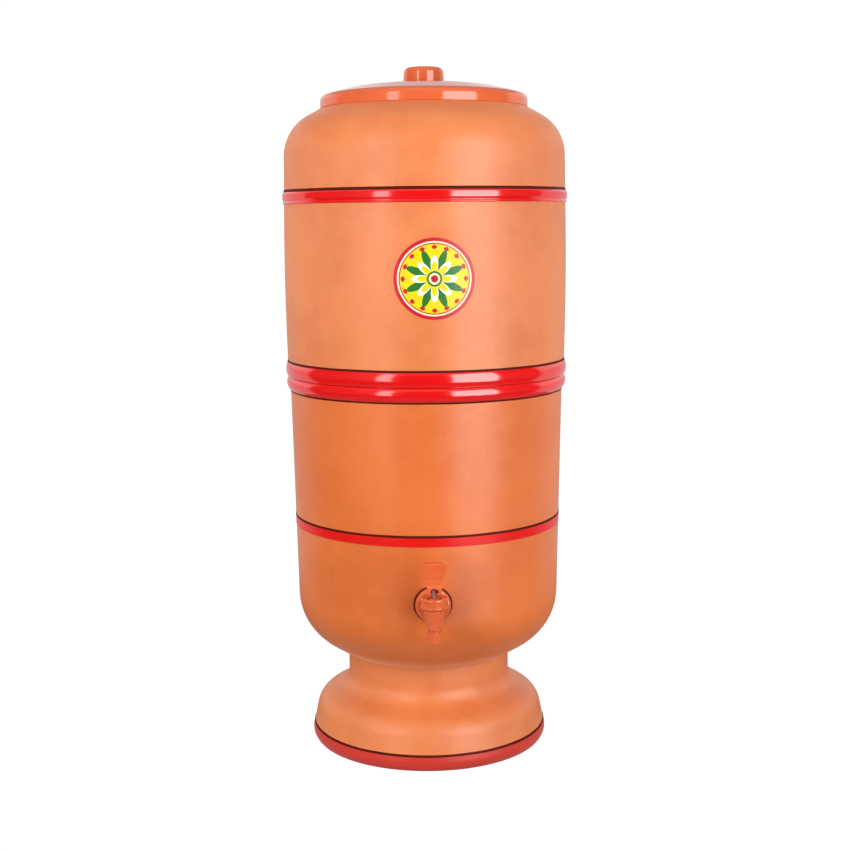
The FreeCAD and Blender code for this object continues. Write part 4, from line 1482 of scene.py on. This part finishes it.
# ---------------------------------------------------------------------------- the tap
@dataclass
class RibbedBonnet:
    """The ring cap that is screwed on the barrel, with a hem and sunk grip panels.

    The corners of its hem are measured from where the hem stands out furthest.
    """

    axis_reach: float
    collar: float
    radius: float = 10.9
    gap: float = 0.7
    foot: float = 8.9
    foot_edge: float = 0.2
    hem_rise: float = 2.6
    hem_proud: float = 0.45
    hem: tuple[Corner, ...] = (
        Corner(-0.7, -0.5, 0.3), Corner(0.0, -0.3, 0.3), Corner(0.0, 0.5, 0.4))
    hem_head: float = 0.6
    hem_head_edge: float = 0.1
    edge: float = 1.2
    roof: float = 3.2
    bore: float = 8.15
    guide_radius: float = 2.05
    panel_margin: float = 0.75
    panel_depth: float = 0.7
    panel_border: float = 0.25
    panel_middle: float = -82.5
    panel_pitch: float = 45.0
    panel_span: float = 33.0
    panel_skin: float = 0.1
    steps: int = 120

    def in_panel(self, spot: Vector, low: float, high: float) -> bool:
        """Whether a spot lies in one of the sunk grip panels.

        Args:
            spot: The middle of a face, in millimetres.
            low: Lower edge of the panels.
            high: Upper edge of the panels.

        Returns:
            True for a face that is sunk.
        """
        across, along = spot.x, spot.y + self.axis_reach
        turn = math.degrees(math.atan2(along, across)) - self.panel_middle
        off = (turn + self.panel_pitch / 2) % self.panel_pitch - self.panel_pitch / 2
        on_wall = math.hypot(across, along) > self.radius - self.panel_skin
        return on_wall and low < spot.z < high and abs(off) < self.panel_span / 2

    def sink_panels(self, piece: bpy.types.Object, low: float, high: float) -> None:
        """Sinks the grip panels into the bonnet's wall.

        Args:
            piece: The plain bonnet.
            low: Lower edge of the panels.
            high: Upper edge of the panels.
        """
        bpy.ops.object.mode_set(mode="EDIT")
        bpy.ops.mesh.select_mode(type="FACE")
        bpy.ops.mesh.select_all(action="DESELECT")
        bpy.ops.object.mode_set(mode="OBJECT")
        for face in piece.data.polygons:
            face.select = self.in_panel(face.center / MM, low, high)
        bpy.ops.object.mode_set(mode="EDIT")
        bpy.ops.mesh.inset(thickness=self.panel_border * MM, depth=-self.panel_depth * MM)
        bpy.ops.mesh.select_mode(type="VERT")
        bpy.ops.object.mode_set(mode="OBJECT")

    def make(self) -> None:
        """The bonnet in one moulding."""
        top = box_mm("tap_bonnet")[1].z
        foot, hem = self.collar + self.gap, self.collar + self.hem_rise
        roof = top - self.roof
        low = hem + self.hem_head + self.panel_margin
        high = top - self.edge - self.panel_margin
        proud = self.radius + self.hem_proud
        section = [Corner(self.bore, foot), Corner(self.foot, foot, self.foot_edge)]
        section += [Corner(proud + corner.across, hem + corner.up, corner.blend)
                    for corner in self.hem]
        section += [
            Corner(self.radius, hem + self.hem_head, self.hem_head_edge),
            Corner(self.radius, low), Corner(self.radius, high),
            Corner(self.radius, top, self.edge), Corner(self.guide_radius, top),
            Corner(self.guide_radius, roof), Corner(self.bore, roof),
        ]
        piece = lathed(rounded(section, closed=True), steps=self.steps,
                       centre=Vector((0, -self.axis_reach, 0)))
        self.sink_panels(piece, low, high)
        dress(piece, "tap_bonnet_moulding", TERRACOTTA)
        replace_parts(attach(piece, "reservoir"), "tap_bonnet")


@dataclass
class PaddleLever:
    """The forked paddle that tilts about its pin and rides on a round heel.

    All is measured from the pin, forwards and up.  The heights of the back's foot, of the
    throat and of the place where blade and heel meet are measured from the heel's top,
    the throat's reach from the front, and the meeting's from the heel's middle.
    """

    heel_radius: float = 6.0
    heel_forward: float = 2.541
    heel_rise: float = 1.95
    heel_start: float = 80.0
    heel_step: float = 6.0
    heel_parts: int = 47
    heel_meeting: Corner = Corner(1.04, -0.09)
    back_foot: Corner = Corner(-2.7, -3.0)
    throat: Corner = Corner(0.1, 1.9, 3.0)
    back: float = 1.6
    front: float = 2.8
    length: float = 23.8
    tip_blend: float = 1.7
    fork_half: float = 5.8
    fork_foot: float = -12.0
    waist_rise: float = 6.0
    waist_blend: float = 14.0
    top_half: float = 11.0
    top_blend: float = 2.6
    top_crown: float = 0.8
    crown_blend: float = 22.0
    slot_half: float = 3.15
    slot_foot: float = -15.0
    slot_rise: float = 4.3
    slot_blend: float = 0.8
    pin_room: float = 1.05
    groove_radius: float = 1.6
    groove_depth: float = 0.05
    groove_margin: float = 3.4
    groove_pitch: float = 2.6
    groove_count: int = 3
    tool_depth: float = 36.0

    def side(self) -> list[Vector]:
        """Side view of the lever: a blade over a round heel.

        Returns:
            The view's outline, forwards and up from the pin.
        """
        meet = self.heel_rise + self.heel_radius
        blade = rounded([
            Corner(self.back_foot.across, meet + self.back_foot.up),
            Corner(-self.back, self.length, self.tip_blend),
            Corner(self.front, self.length, self.tip_blend),
            Corner(self.front + self.throat.across, meet + self.throat.up,
                   self.throat.blend),
            Corner(self.heel_forward + self.heel_meeting.across,
                   meet + self.heel_meeting.up),
        ])
        turns = (math.radians(self.heel_start - self.heel_step * step)
                 for step in range(1, self.heel_parts + 1))
        heel = [Vector((self.heel_forward + self.heel_radius * math.cos(turn),
                        self.heel_rise + self.heel_radius * math.sin(turn)))
                for turn in turns]
        return blade + heel

    def face(self) -> list[Vector]:
        """Front view of the lever: fork, waist and flared paddle.

        Returns:
            The view's outline, across and up from the pin.
        """
        right = [
            Corner(self.fork_half, self.fork_foot),
            Corner(self.fork_half, self.waist_rise, self.waist_blend),
            Corner(self.top_half, self.length - self.top_crown, self.top_blend),
        ]
        left = [Corner(-corner.across, corner.up, corner.blend) for corner in right[::-1]]
        crown = Corner(0, self.length, self.crown_blend)
        return rounded(right + [crown] + left, closed=True)

    def slot(self) -> list[Vector]:
        """Front view of the slot that the stem stands in.

        Returns:
            The slot's outline, across and up from the pin.
        """
        return rounded([
            Corner(-self.slot_half, self.slot_foot), Corner(self.slot_half, self.slot_foot),
            Corner(self.slot_half, self.slot_rise, self.slot_blend),
            Corner(-self.slot_half, self.slot_rise, self.slot_blend),
        ], closed=True)

    def make(self) -> None:
        """The lever with its slot, its hole for the pin and its grip grooves."""
        low, high = box_mm("tap_pin")
        pin, depth = (low + high) / 2, self.tool_depth
        piece = pressed(self.side(), Turning.FORWARD, pin, depth)
        combine(piece, Fitting.SHARE, pressed(self.face(), Turning.SIDEWAYS, pin, depth))
        combine(piece, Fitting.CUT, pressed(self.slot(), Turning.SIDEWAYS, pin, depth))
        combine(piece, Fitting.CUT, drill(self.pin_room, depth, pin, Turning.SIDEWAYS))
        reach = self.front + self.groove_radius - self.groove_depth
        for index in range(self.groove_count):
            rise = self.length - self.groove_margin - index * self.groove_pitch
            spot = pin + Vector((0, -reach, rise))
            groove = drill(self.groove_radius, depth, spot, Turning.SIDEWAYS)
            combine(piece, Fitting.CUT, groove)
        dress(piece, "tap_lever_moulding", TERRACOTTA)
        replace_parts(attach(piece, "tap_lever"), "tap_lever")


@dataclass
class LeverTap:
    """The lever tap with its gaskets, lock nut and silicone cup.

    Reaches are measured forwards from the pot's axis, heights from the floor.
    """

    height: float = 147.2
    axis_reach: float = 143.362
    shank_radius: float = 7.5
    shank_pitch: float = 2.0
    shank_depth: float = 0.7
    crest_start: float = 0.35
    crest_end: float = 0.6
    bore_radius: float = 2.5
    flange_radius: float = 14.4
    flange_thickness: float = 4.5
    flange_blend: float = 2.4
    flange_edge: float = 0.5
    neck_radius: float = 6.5
    neck_blend: float = 1.8
    collar_rise: float = 3.5
    collar_edge: float = 0.3
    barrel_radius: float = 8.65
    barrel_foot: float = 6.1
    barrel_drop: float = 12.7
    barrel_edge: float = 0.8
    thread_radius: float = 8.1
    thread_height: float = 6.0
    thread_edge: float = 0.4
    nozzle_radius: float = 5.35
    nozzle_length: float = 11.0
    nozzle_draft: float = 0.4
    nozzle_wall: float = 1.5
    waist_depth: float = 1.2
    waist_height: float = 1.7
    waist_edge: float = 0.2
    chamber_top: float = 6.2
    chamber_foot: float = 4.9
    chamber_rim: float = 0.5
    seat_drop: float = 9.2
    bonnet_room: float = 0.4
    bonnet_headroom: float = 10.0
    through: float = 1.0
    gasket_edge: float = 1.35
    gasket_grip: float = 0.5
    gasket_squeeze: float = 0.955
    nut_edge: float = 0.4
    stem_radius: float = 2.0
    stem_knob_radius: float = 2.8
    stem_knob_height: float = 2.6
    play: float = 0.05
    cup_wall: float = 1.0
    cup_cap: float = 1.8
    plug_room: float = 0.7
    skirt_room: float = 0.9
    cup_steps: int = 96
    steps: int = 120
    flange_back: float = field(init=False)
    shank_start: float = field(init=False)
    collar: float = field(init=False)
    bonnet: RibbedBonnet = field(init=False)
    lever: PaddleLever = field(init=False)

    def __post_init__(self) -> None:
        """Reads where flange and shank lie from the frame, and sets the collar's height."""
        self.flange_back = -box_mm("tap_outer_gasket")[0].y
        self.shank_start = -box_mm("tap_body")[1].y
        self.collar = self.height + self.collar_rise
        self.bonnet = RibbedBonnet(self.axis_reach, self.collar)
        self.lever = PaddleLever()

    def thread(self, start: float, end: float) -> list[Corner]:
        """Ring-shaped teeth along the shank.

        Args:
            start: Reach of the first tooth's root.
            end: Reach of the last tooth's root.

        Returns:
            The corners of the teeth.
        """
        count = int((end - start) / self.shank_pitch)
        pitch = (end - start) / count
        root, crest = self.shank_radius - self.shank_depth, self.shank_radius
        teeth: list[Corner] = []
        for index in range(count):
            reach = start + index * pitch
            teeth += [Corner(root, reach), Corner(crest, reach + self.crest_start * pitch),
                      Corner(crest, reach + self.crest_end * pitch)]
        return teeth + [Corner(root, end)]

    def make_spindle(self) -> bpy.types.Object:
        """Shank, flange and neck along the axis that runs through the wall.

        Returns:
            The solid.
        """
        front = self.flange_back + self.flange_thickness
        inside = -box_mm("tap_inner_gasket")[0].y
        section = [Corner(0, self.shank_start), *self.thread(self.shank_start, inside)]
        section += [
            Corner(self.shank_radius, inside), Corner(self.shank_radius, self.flange_back),
            Corner(self.flange_radius, self.flange_back, self.flange_edge),
            Corner(self.flange_radius, front, self.flange_blend),
            Corner(self.neck_radius, front, self.neck_blend),
            Corner(self.neck_radius, self.axis_reach), Corner(0, self.axis_reach),
        ]
        return self.level(rounded(section))

    def level(self, section: list[Vector]) -> bpy.types.Object:
        """Turns a section about the shank's axis."""
        return lathed(section, steps=self.steps, turning=Turning.FORWARD,
                      centre=Vector((0, 0, self.height)))

    def upright(self, section: list[Vector], steps: int) -> bpy.types.Object:
        """Turns a section about the barrel's axis."""
        return lathed(section, steps=steps, centre=Vector((0, -self.axis_reach, 0)))

    def make_body(self) -> None:
        """Barrel, nozzle and spindle in one moulding, with the water's way through."""
        foot = self.height - self.barrel_drop
        tip = foot - self.nozzle_length
        top = self.collar + self.thread_height
        seat = self.height - self.seat_drop
        waist = self.nozzle_radius - self.waist_depth
        waist_foot = foot - self.waist_height
        outlet = self.nozzle_radius - self.nozzle_wall
        room, roof = self.bonnet.radius + self.bonnet_room, top + self.bonnet_headroom
        piece = self.make_spindle()
        notch = [
            Corner(0, self.collar), Corner(room, self.collar), Corner(room, roof),
            Corner(0, roof),
        ]
        combine(piece, Fitting.CUT, self.upright(rounded(notch), self.steps))
        barrel = [
            Corner(0, tip),
            Corner(self.nozzle_radius - self.nozzle_draft, tip, self.barrel_edge),
            Corner(self.nozzle_radius, waist_foot, self.waist_edge),
            Corner(waist, waist_foot + self.waist_edge, self.waist_edge),
            Corner(waist, foot, self.waist_edge),
            Corner(self.barrel_foot, foot, self.barrel_edge),
            Corner(self.barrel_radius, self.collar, self.collar_edge),
            Corner(self.thread_radius, self.collar),
            Corner(self.thread_radius, top, self.thread_edge), Corner(0, top),
        ]
        combine(piece, Fitting.FUSE, self.upright(rounded(barrel), self.steps))
        chamber = [
            Corner(0, tip - self.through), Corner(outlet, tip - self.through),
            Corner(outlet, seat), Corner(self.chamber_foot, seat),
            Corner(self.chamber_top, top + self.chamber_rim),
            Corner(0, top + self.chamber_rim),
        ]
        combine(piece, Fitting.CUT, self.upright(rounded(chamber), self.steps))
        length = self.axis_reach - self.shank_start + 2 * self.through
        middle = Vector((0, -(self.axis_reach - length / 2), self.height))
        combine(piece, Fitting.CUT, drill(self.bore_radius, length, middle, Turning.FORWARD))
        dress(piece, "tap_body_moulding", TERRACOTTA)
        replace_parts(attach(piece, "reservoir"), "tap_body")

    def make_gasket(self, node: str) -> None:
        """One rubber ring on the shank, flattened above and below by the round wall.

        Args:
            node: The gasket's CAD node.
        """
        low, high = box_mm(node)
        start, end, radius = -high.y, -low.y, high.x
        piece = self.level(rounded([
            Corner(self.shank_radius, start), Corner(radius, start, self.gasket_edge),
            Corner(radius, end, self.gasket_edge), Corner(self.shank_radius, end),
        ], closed=True))
        for vertex in piece.data.vertices:
            rise = vertex.co.z - self.height * MM
            if math.hypot(vertex.co.x, rise) > (self.shank_radius + self.gasket_grip) * MM:
                vertex.co.z = self.height * MM + rise * self.gasket_squeeze
        dress(piece, node + "_ring", DARK_RUBBER)
        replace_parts(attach(piece, "reservoir"), node)

    def make_cup(self) -> None:
        """The silicone cup, built at rest; in the tap its wall shortens as the stem lifts its
        plug.
        """
        low, high = box_mm("tap_seat_cup")
        stem = box_mm("tap_stem")[0].z
        roof = stem + self.stem_knob_height + self.play
        cap, rim = roof + self.cup_cap, self.collar + self.thread_height
        plug, skirt = self.chamber_foot - self.plug_room, self.chamber_top - self.skirt_room
        neck, knob = self.stem_radius + self.play, self.stem_knob_radius + self.play
        section = rounded([
            Corner(0, low.z), Corner(plug, low.z, self.barrel_edge), Corner(plug, cap),
            Corner(skirt, rim), Corner(high.x, rim), Corner(high.x, high.z),
            Corner(skirt - self.cup_wall, high.z), Corner(plug - self.cup_wall, cap),
            Corner(neck, cap), Corner(neck, roof), Corner(knob, roof),
            Corner(knob, stem - self.play), Corner(0, stem - self.play),
        ])
        piece = self.upright(section, self.cup_steps)
        dress(piece, "tap_seat_cup_moulding", SILICONE)
        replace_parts(piece, "tap_seat_cup")
        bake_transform(piece)

    def make_all(self) -> None:
        """Makes every piece of the tap."""
        self.make_body()
        self.bonnet.make()
        self.make_gasket("tap_outer_gasket")
        self.make_gasket("tap_inner_gasket")
        self.lever.make()
        softened("tap_lock_nut", "reservoir", TERRACOTTA, self.nut_edge)
        self.make_cup()
        dress_node("tap_stem", STEM_PLASTIC)
        # The pin's dark brown is painted shade of the lever's slot.
        dress_node("tap_pin", SHADE_BROWN_STEEL)


# ----------------------------------------------------------------- candles and floats
@dataclass
class FilterSet:
    """The two candles with what clamps them and the float valves under them."""

    sides: tuple[str, ...] = ("left", "right")
    base_edge: float = 0.4
    valve_edge: float = 0.3
    arm_edge: float = 0.5
    pad_edge: float = 0.3
    gasket_edge: float = 0.5
    washer_edge: float = 0.4
    nut_edge: float = 0.8

    def places(self) -> list[float]:
        """The X position of each candle."""
        boxes = [box_mm("candle_shell_" + side) for side in self.sides]
        return [(low.x + high.x) / 2 for low, high in boxes]

    def make_all(self) -> None:
        """Rounds and dresses every piece."""
        for side in self.sides:
            dress_node("candle_shell_" + side, CERAMIC)
            dress_node("candle_carbon_" + side, CARBON)
            softened("candle_base_" + side, "filter_vessel", WHITE_PLASTIC, self.base_edge)
            softened("float_valve_body_" + side, "filter_vessel", WHITE_PLASTIC,
                     self.valve_edge)
            softened("float_arm_" + side, "float_" + side, WHITE_PLASTIC, self.arm_edge)
            softened("float_pad_" + side, "float_" + side, DARK_RUBBER, self.pad_edge)
            dress_node("float_bulb_" + side, FLOAT_PLASTIC)
        softened("candle_gaskets", "filter_vessel", SILICONE, self.gasket_edge)
        softened("candle_washers", "filter_vessel", WHITE_PLASTIC, self.washer_edge)
        softened("candle_wing_nuts", "filter_vessel", WHITE_PLASTIC, self.nut_edge)
        dress_node("float_hinge_pins", STEEL)


# -------------------------------------------------------------------------- the studio
@dataclass(frozen=True)
class Softbox:
    """One soft light.

    Attributes:
        name: What it is called.
        bearing: Degrees round from the camera's side, positive to the right.
        span: Degrees that it fills from side to side.
        low: Height of its lower edge.
        high: Height of its upper edge.
        distance: How far it stands from the axis.
        radiance: How bright its face is.
        mirrored: Whether gloss shows it.
    """

    name: str
    bearing: float
    span: float
    low: float
    high: float
    distance: float
    radiance: float
    mirrored: bool = True


Stops = tuple[tuple[float, float], ...]


@dataclass
class Studio:
    """Camera, lights, floor and backdrop.

    The edges of the backdrop are bearings from the camera's side.  Its stops and the
    ceiling's are given by the rise of the line of sight, as the sine of its slope, and
    those of the floor by the distance from the axis in metres.
    """

    camera_bearing: float = -1.85
    camera_pitch: float = 8.235
    camera_roll: float = -0.508
    camera_distance: float = 1230.0
    camera_height: float = 455.5
    camera_aside: float = -1.4
    lens: float = 60.0
    sensor_width: float = 36.0
    paper_white: float = 1.05
    backdrop_left: float = -110.0
    backdrop_right: float = 106.0
    backdrop_soft: float = 0.04
    backdrop_stops: Stops = (
        (-0.06, 0.64), (0.03, 0.6), (0.12, 0.85), (0.24, 1.0), (0.38, 0.85),
        (0.55, 0.35))
    room_light: float = 0.05
    ceiling_light: float = 0.58
    ceiling_rise: tuple[float, float] = (0.5, 0.9)
    floor_stops: Stops = (
        (0.11, 0.45), (0.16, 0.2), (0.24, 0.2), (0.5, 0.16))
    floor_reach: float = 2500.0
    floor_drop: float = 0.4
    glow_reach: float = 600.0
    glow_drop: float = 0.2
    floor_facets: int = 96
    softboxes: tuple[Softbox, ...] = (
        Softbox("key_softbox", 38.7, 37.0, -120.0, 1250.0, 1350.0, 4.85),
        Softbox("fill_softbox", -32.4, 12.0, 60.0, 1400.0, 1350.0, 3.0),
        Softbox("fill_glow", -40.0, 34.0, 60.0, 1400.0, 1420.0, 0.7, False),
        Softbox("left_wash", -42.0, 40.0, 200.0, 1500.0, 1500.0, 4.0, False),
        Softbox("far_left_wash", -88.0, 40.0, 150.0, 950.0, 1600.0, 2.6, False),
        Softbox("far_right_wash", 84.0, 44.0, -40.0, 950.0, 1600.0, 2.3, False),
    )

    def bearing(self, degrees: float) -> Vector:
        """Level direction at a bearing from the camera's side, seen from the object."""
        turn = math.radians(degrees + self.camera_bearing)
        return Vector((math.sin(turn), -math.cos(turn), 0))

    def make_camera(self) -> None:
        """The camera at its place, level line and roll."""
        data = bpy.data.cameras.new("camera")
        data.lens = self.lens
        data.sensor_width = self.sensor_width
        camera = bpy.data.objects.new("camera", data)
        bpy.context.scene.collection.objects.link(camera)
        back = self.bearing(0)
        aside = back.cross(-UP)
        place = back * self.camera_distance + aside * self.camera_aside
        place.z = self.camera_height
        pitch = math.radians(self.camera_pitch)
        gaze = -back * math.cos(pitch) - UP * math.sin(pitch)
        roll = Matrix.Rotation(math.radians(self.camera_roll), 4, "Z")
        turned = gaze.to_track_quat("-Z", "Y").to_matrix().to_4x4() @ roll
        camera.matrix_world = Matrix.Translation(place * MM) @ turned
        bpy.context.scene.camera = camera

    def make_softbox(self, box: Softbox) -> None:
        """One softbox as an upright sheet of light that faces the object.

        Args:
            box: Its place, size and strength.
        """
        width = 2 * box.distance * math.tan(math.radians(box.span) / 2) * MM
        height = (box.high - box.low) * MM
        data = bpy.data.lights.new(box.name, "AREA")
        data.shape = "RECTANGLE"
        data.size = width
        data.size_y = height
        data.energy = box.radiance * math.pi * width * height
        light = bpy.data.objects.new(box.name, data)
        light.visible_camera = False
        light.visible_glossy = box.mirrored
        bpy.context.scene.collection.objects.link(light)
        outwards = self.bearing(box.bearing)
        place = outwards * box.distance + UP * ((box.low + box.high) / 2)
        facing = (-outwards).to_track_quat("-Z", "Y").to_matrix().to_4x4()
        light.matrix_world = Matrix.Translation(place * MM) @ facing

    def set_stops(self, node: bpy.types.Node, stops: Stops) -> None:
        """Gives a colour ramp its grey stops.

        Args:
            node: The ramp's node.
            stops: Each stop's place and strength, in rising order.
        """
        ramp = node.color_ramp
        ramp.interpolation = "EASE"
        while len(ramp.elements) < len(stops):
            ramp.elements.new(RAMP_MIDDLE)
        for element, (place, strength) in zip(ramp.elements, stops):
            element.position = place
            element.color = (strength, strength, strength, 1.0)

    def make_sheet(self, name: str, drop: float,
                   reach: float) -> tuple[bpy.types.Object, bpy.types.NodeTree]:
        """A round level sheet with an empty material.

        Args:
            name: What it is called.
            drop: How far it lies under the object, in millimetres.
            reach: Its radius, in millimetres.

        Returns:
            The sheet and its material's tree.
        """
        bpy.ops.mesh.primitive_circle_add(
            vertices=self.floor_facets, radius=reach * MM, fill_type="NGON",
            location=(0, 0, -drop * MM))
        sheet = bpy.context.object
        sheet.name = name
        material = bpy.data.materials.new(name)
        material.use_nodes = True
        material.node_tree.nodes.clear()
        sheet.data.materials.append(material)
        return sheet, material.node_tree

    def make_floor(self) -> None:
        """A pale paper that the camera sees, under the glow that it throws on the object."""
        paper, tree = self.make_sheet("studio_floor", self.floor_drop, self.floor_reach)
        light = add_node(tree, "Emission", {"Strength": self.paper_white})
        add_node(tree, "OutputMaterial", {"Surface": light.outputs[0]})
        for ray in ("diffuse", "glossy", "transmission", "shadow"):
            setattr(paper, "visible_" + ray, False)
        glow, tree = self.make_sheet("studio_floor_glow", self.glow_drop, self.glow_reach)
        place = add_node(tree, "TexCoord").outputs["Object"]
        out = add_node(tree, "VectorMath", {0: place}, operation="LENGTH")
        shade = add_node(tree, "ValToRGB", {"Fac": out.outputs["Value"]})
        self.set_stops(shade, self.floor_stops)
        light = add_node(tree, "Emission", {"Color": shade.outputs[0]})
        add_node(tree, "OutputMaterial", {"Surface": light.outputs[0]})
        glow.visible_camera = False

    def make_surroundings(self) -> None:
        """A white backdrop low behind the object, a dim room and a pale ceiling."""
        world = bpy.data.worlds.new("studio")
        world.use_nodes = True
        bpy.context.scene.world = world
        tree = world.node_tree
        tree.nodes.clear()
        ray = add_node(tree, "TexCoord").outputs["Generated"]
        rise = add_node(tree, "SeparateXYZ", {0: ray}).outputs["Z"]
        level = add_node(tree, "VectorMath", {
            0: ray, 1: (1.0, 1.0, 0.0)}, operation="MULTIPLY")
        unit = add_node(tree, "VectorMath", {0: level.outputs[0]}, operation="NORMALIZE")
        middle = (self.backdrop_left + self.backdrop_right) / 2 + 180
        half = (360 - self.backdrop_right + self.backdrop_left) / 2
        facing = add_node(tree, "VectorMath", {
            0: unit.outputs[0], 1: self.bearing(middle)}, operation="DOT_PRODUCT")
        edge = math.cos(math.radians(half))
        behind = add_node(tree, "MapRange", {
            "Value": facing.outputs["Value"], "From Min": edge - self.backdrop_soft,
            "From Max": edge + self.backdrop_soft})
        lifted = add_node(tree, "Math", {0: rise, 1: RAMP_MIDDLE}, operation="ADD")
        paper = add_node(tree, "ValToRGB", {"Fac": lifted.outputs[0]})
        self.set_stops(paper, tuple(
            (slope + RAMP_MIDDLE, strength) for slope, strength in self.backdrop_stops))
        room = add_node(tree, "MapRange", {
            "Value": rise, "From Min": self.ceiling_rise[0],
            "From Max": self.ceiling_rise[1], "To Min": self.room_light,
            "To Max": self.ceiling_light})
        strength = add_node(tree, "Mix", {
            MIX_FACTOR: behind.outputs[0], MIX_LOW: room.outputs[0],
            MIX_HIGH: paper.outputs[0]}, data_type="FLOAT")
        seen = add_node(tree, "LightPath").outputs["Is Camera Ray"]
        shown = add_node(tree, "Mix", {
            MIX_FACTOR: seen, MIX_LOW: strength.outputs[0], MIX_HIGH: self.paper_white},
            data_type="FLOAT")
        light = add_node(tree, "Background", {
            "Color": (1.0, 1.0, 1.0, 1.0), "Strength": shown.outputs[0]})
        add_node(tree, "OutputWorld", {"Surface": light.outputs[0]})

    def make_all(self) -> None:
        """Everything that isn't the object."""
        self.make_camera()
        for box in self.softboxes:
            self.make_softbox(box)
        self.make_floor()
        self.make_surroundings()
        bpy.context.scene.view_settings.view_transform = "Standard"
        log.info("set the studio with %d softboxes", len(self.softboxes))


def main() -> None:
    """Builds the camera and lights, then every piece."""
    logging.basicConfig(level=logging.INFO, format="%(name)s: %(message)s")
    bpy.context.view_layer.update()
    bpy.ops.object.select_all(action="DESELECT")
    Studio().make_all()
    clay, tap, filters = ClayBody(), LeverTap(), FilterSet()
    clay.make_foot()
    clay.make_lower(tap.height)
    clay.make_upper(filters.places())
    PaintedBands(clay).make_all()
    FrontMedallion(clay).make()
    MouldedLid().make_all(clay.mouth)
    tap.make_all()
    filters.make_all()


if __name__ == "__main__":
    main()
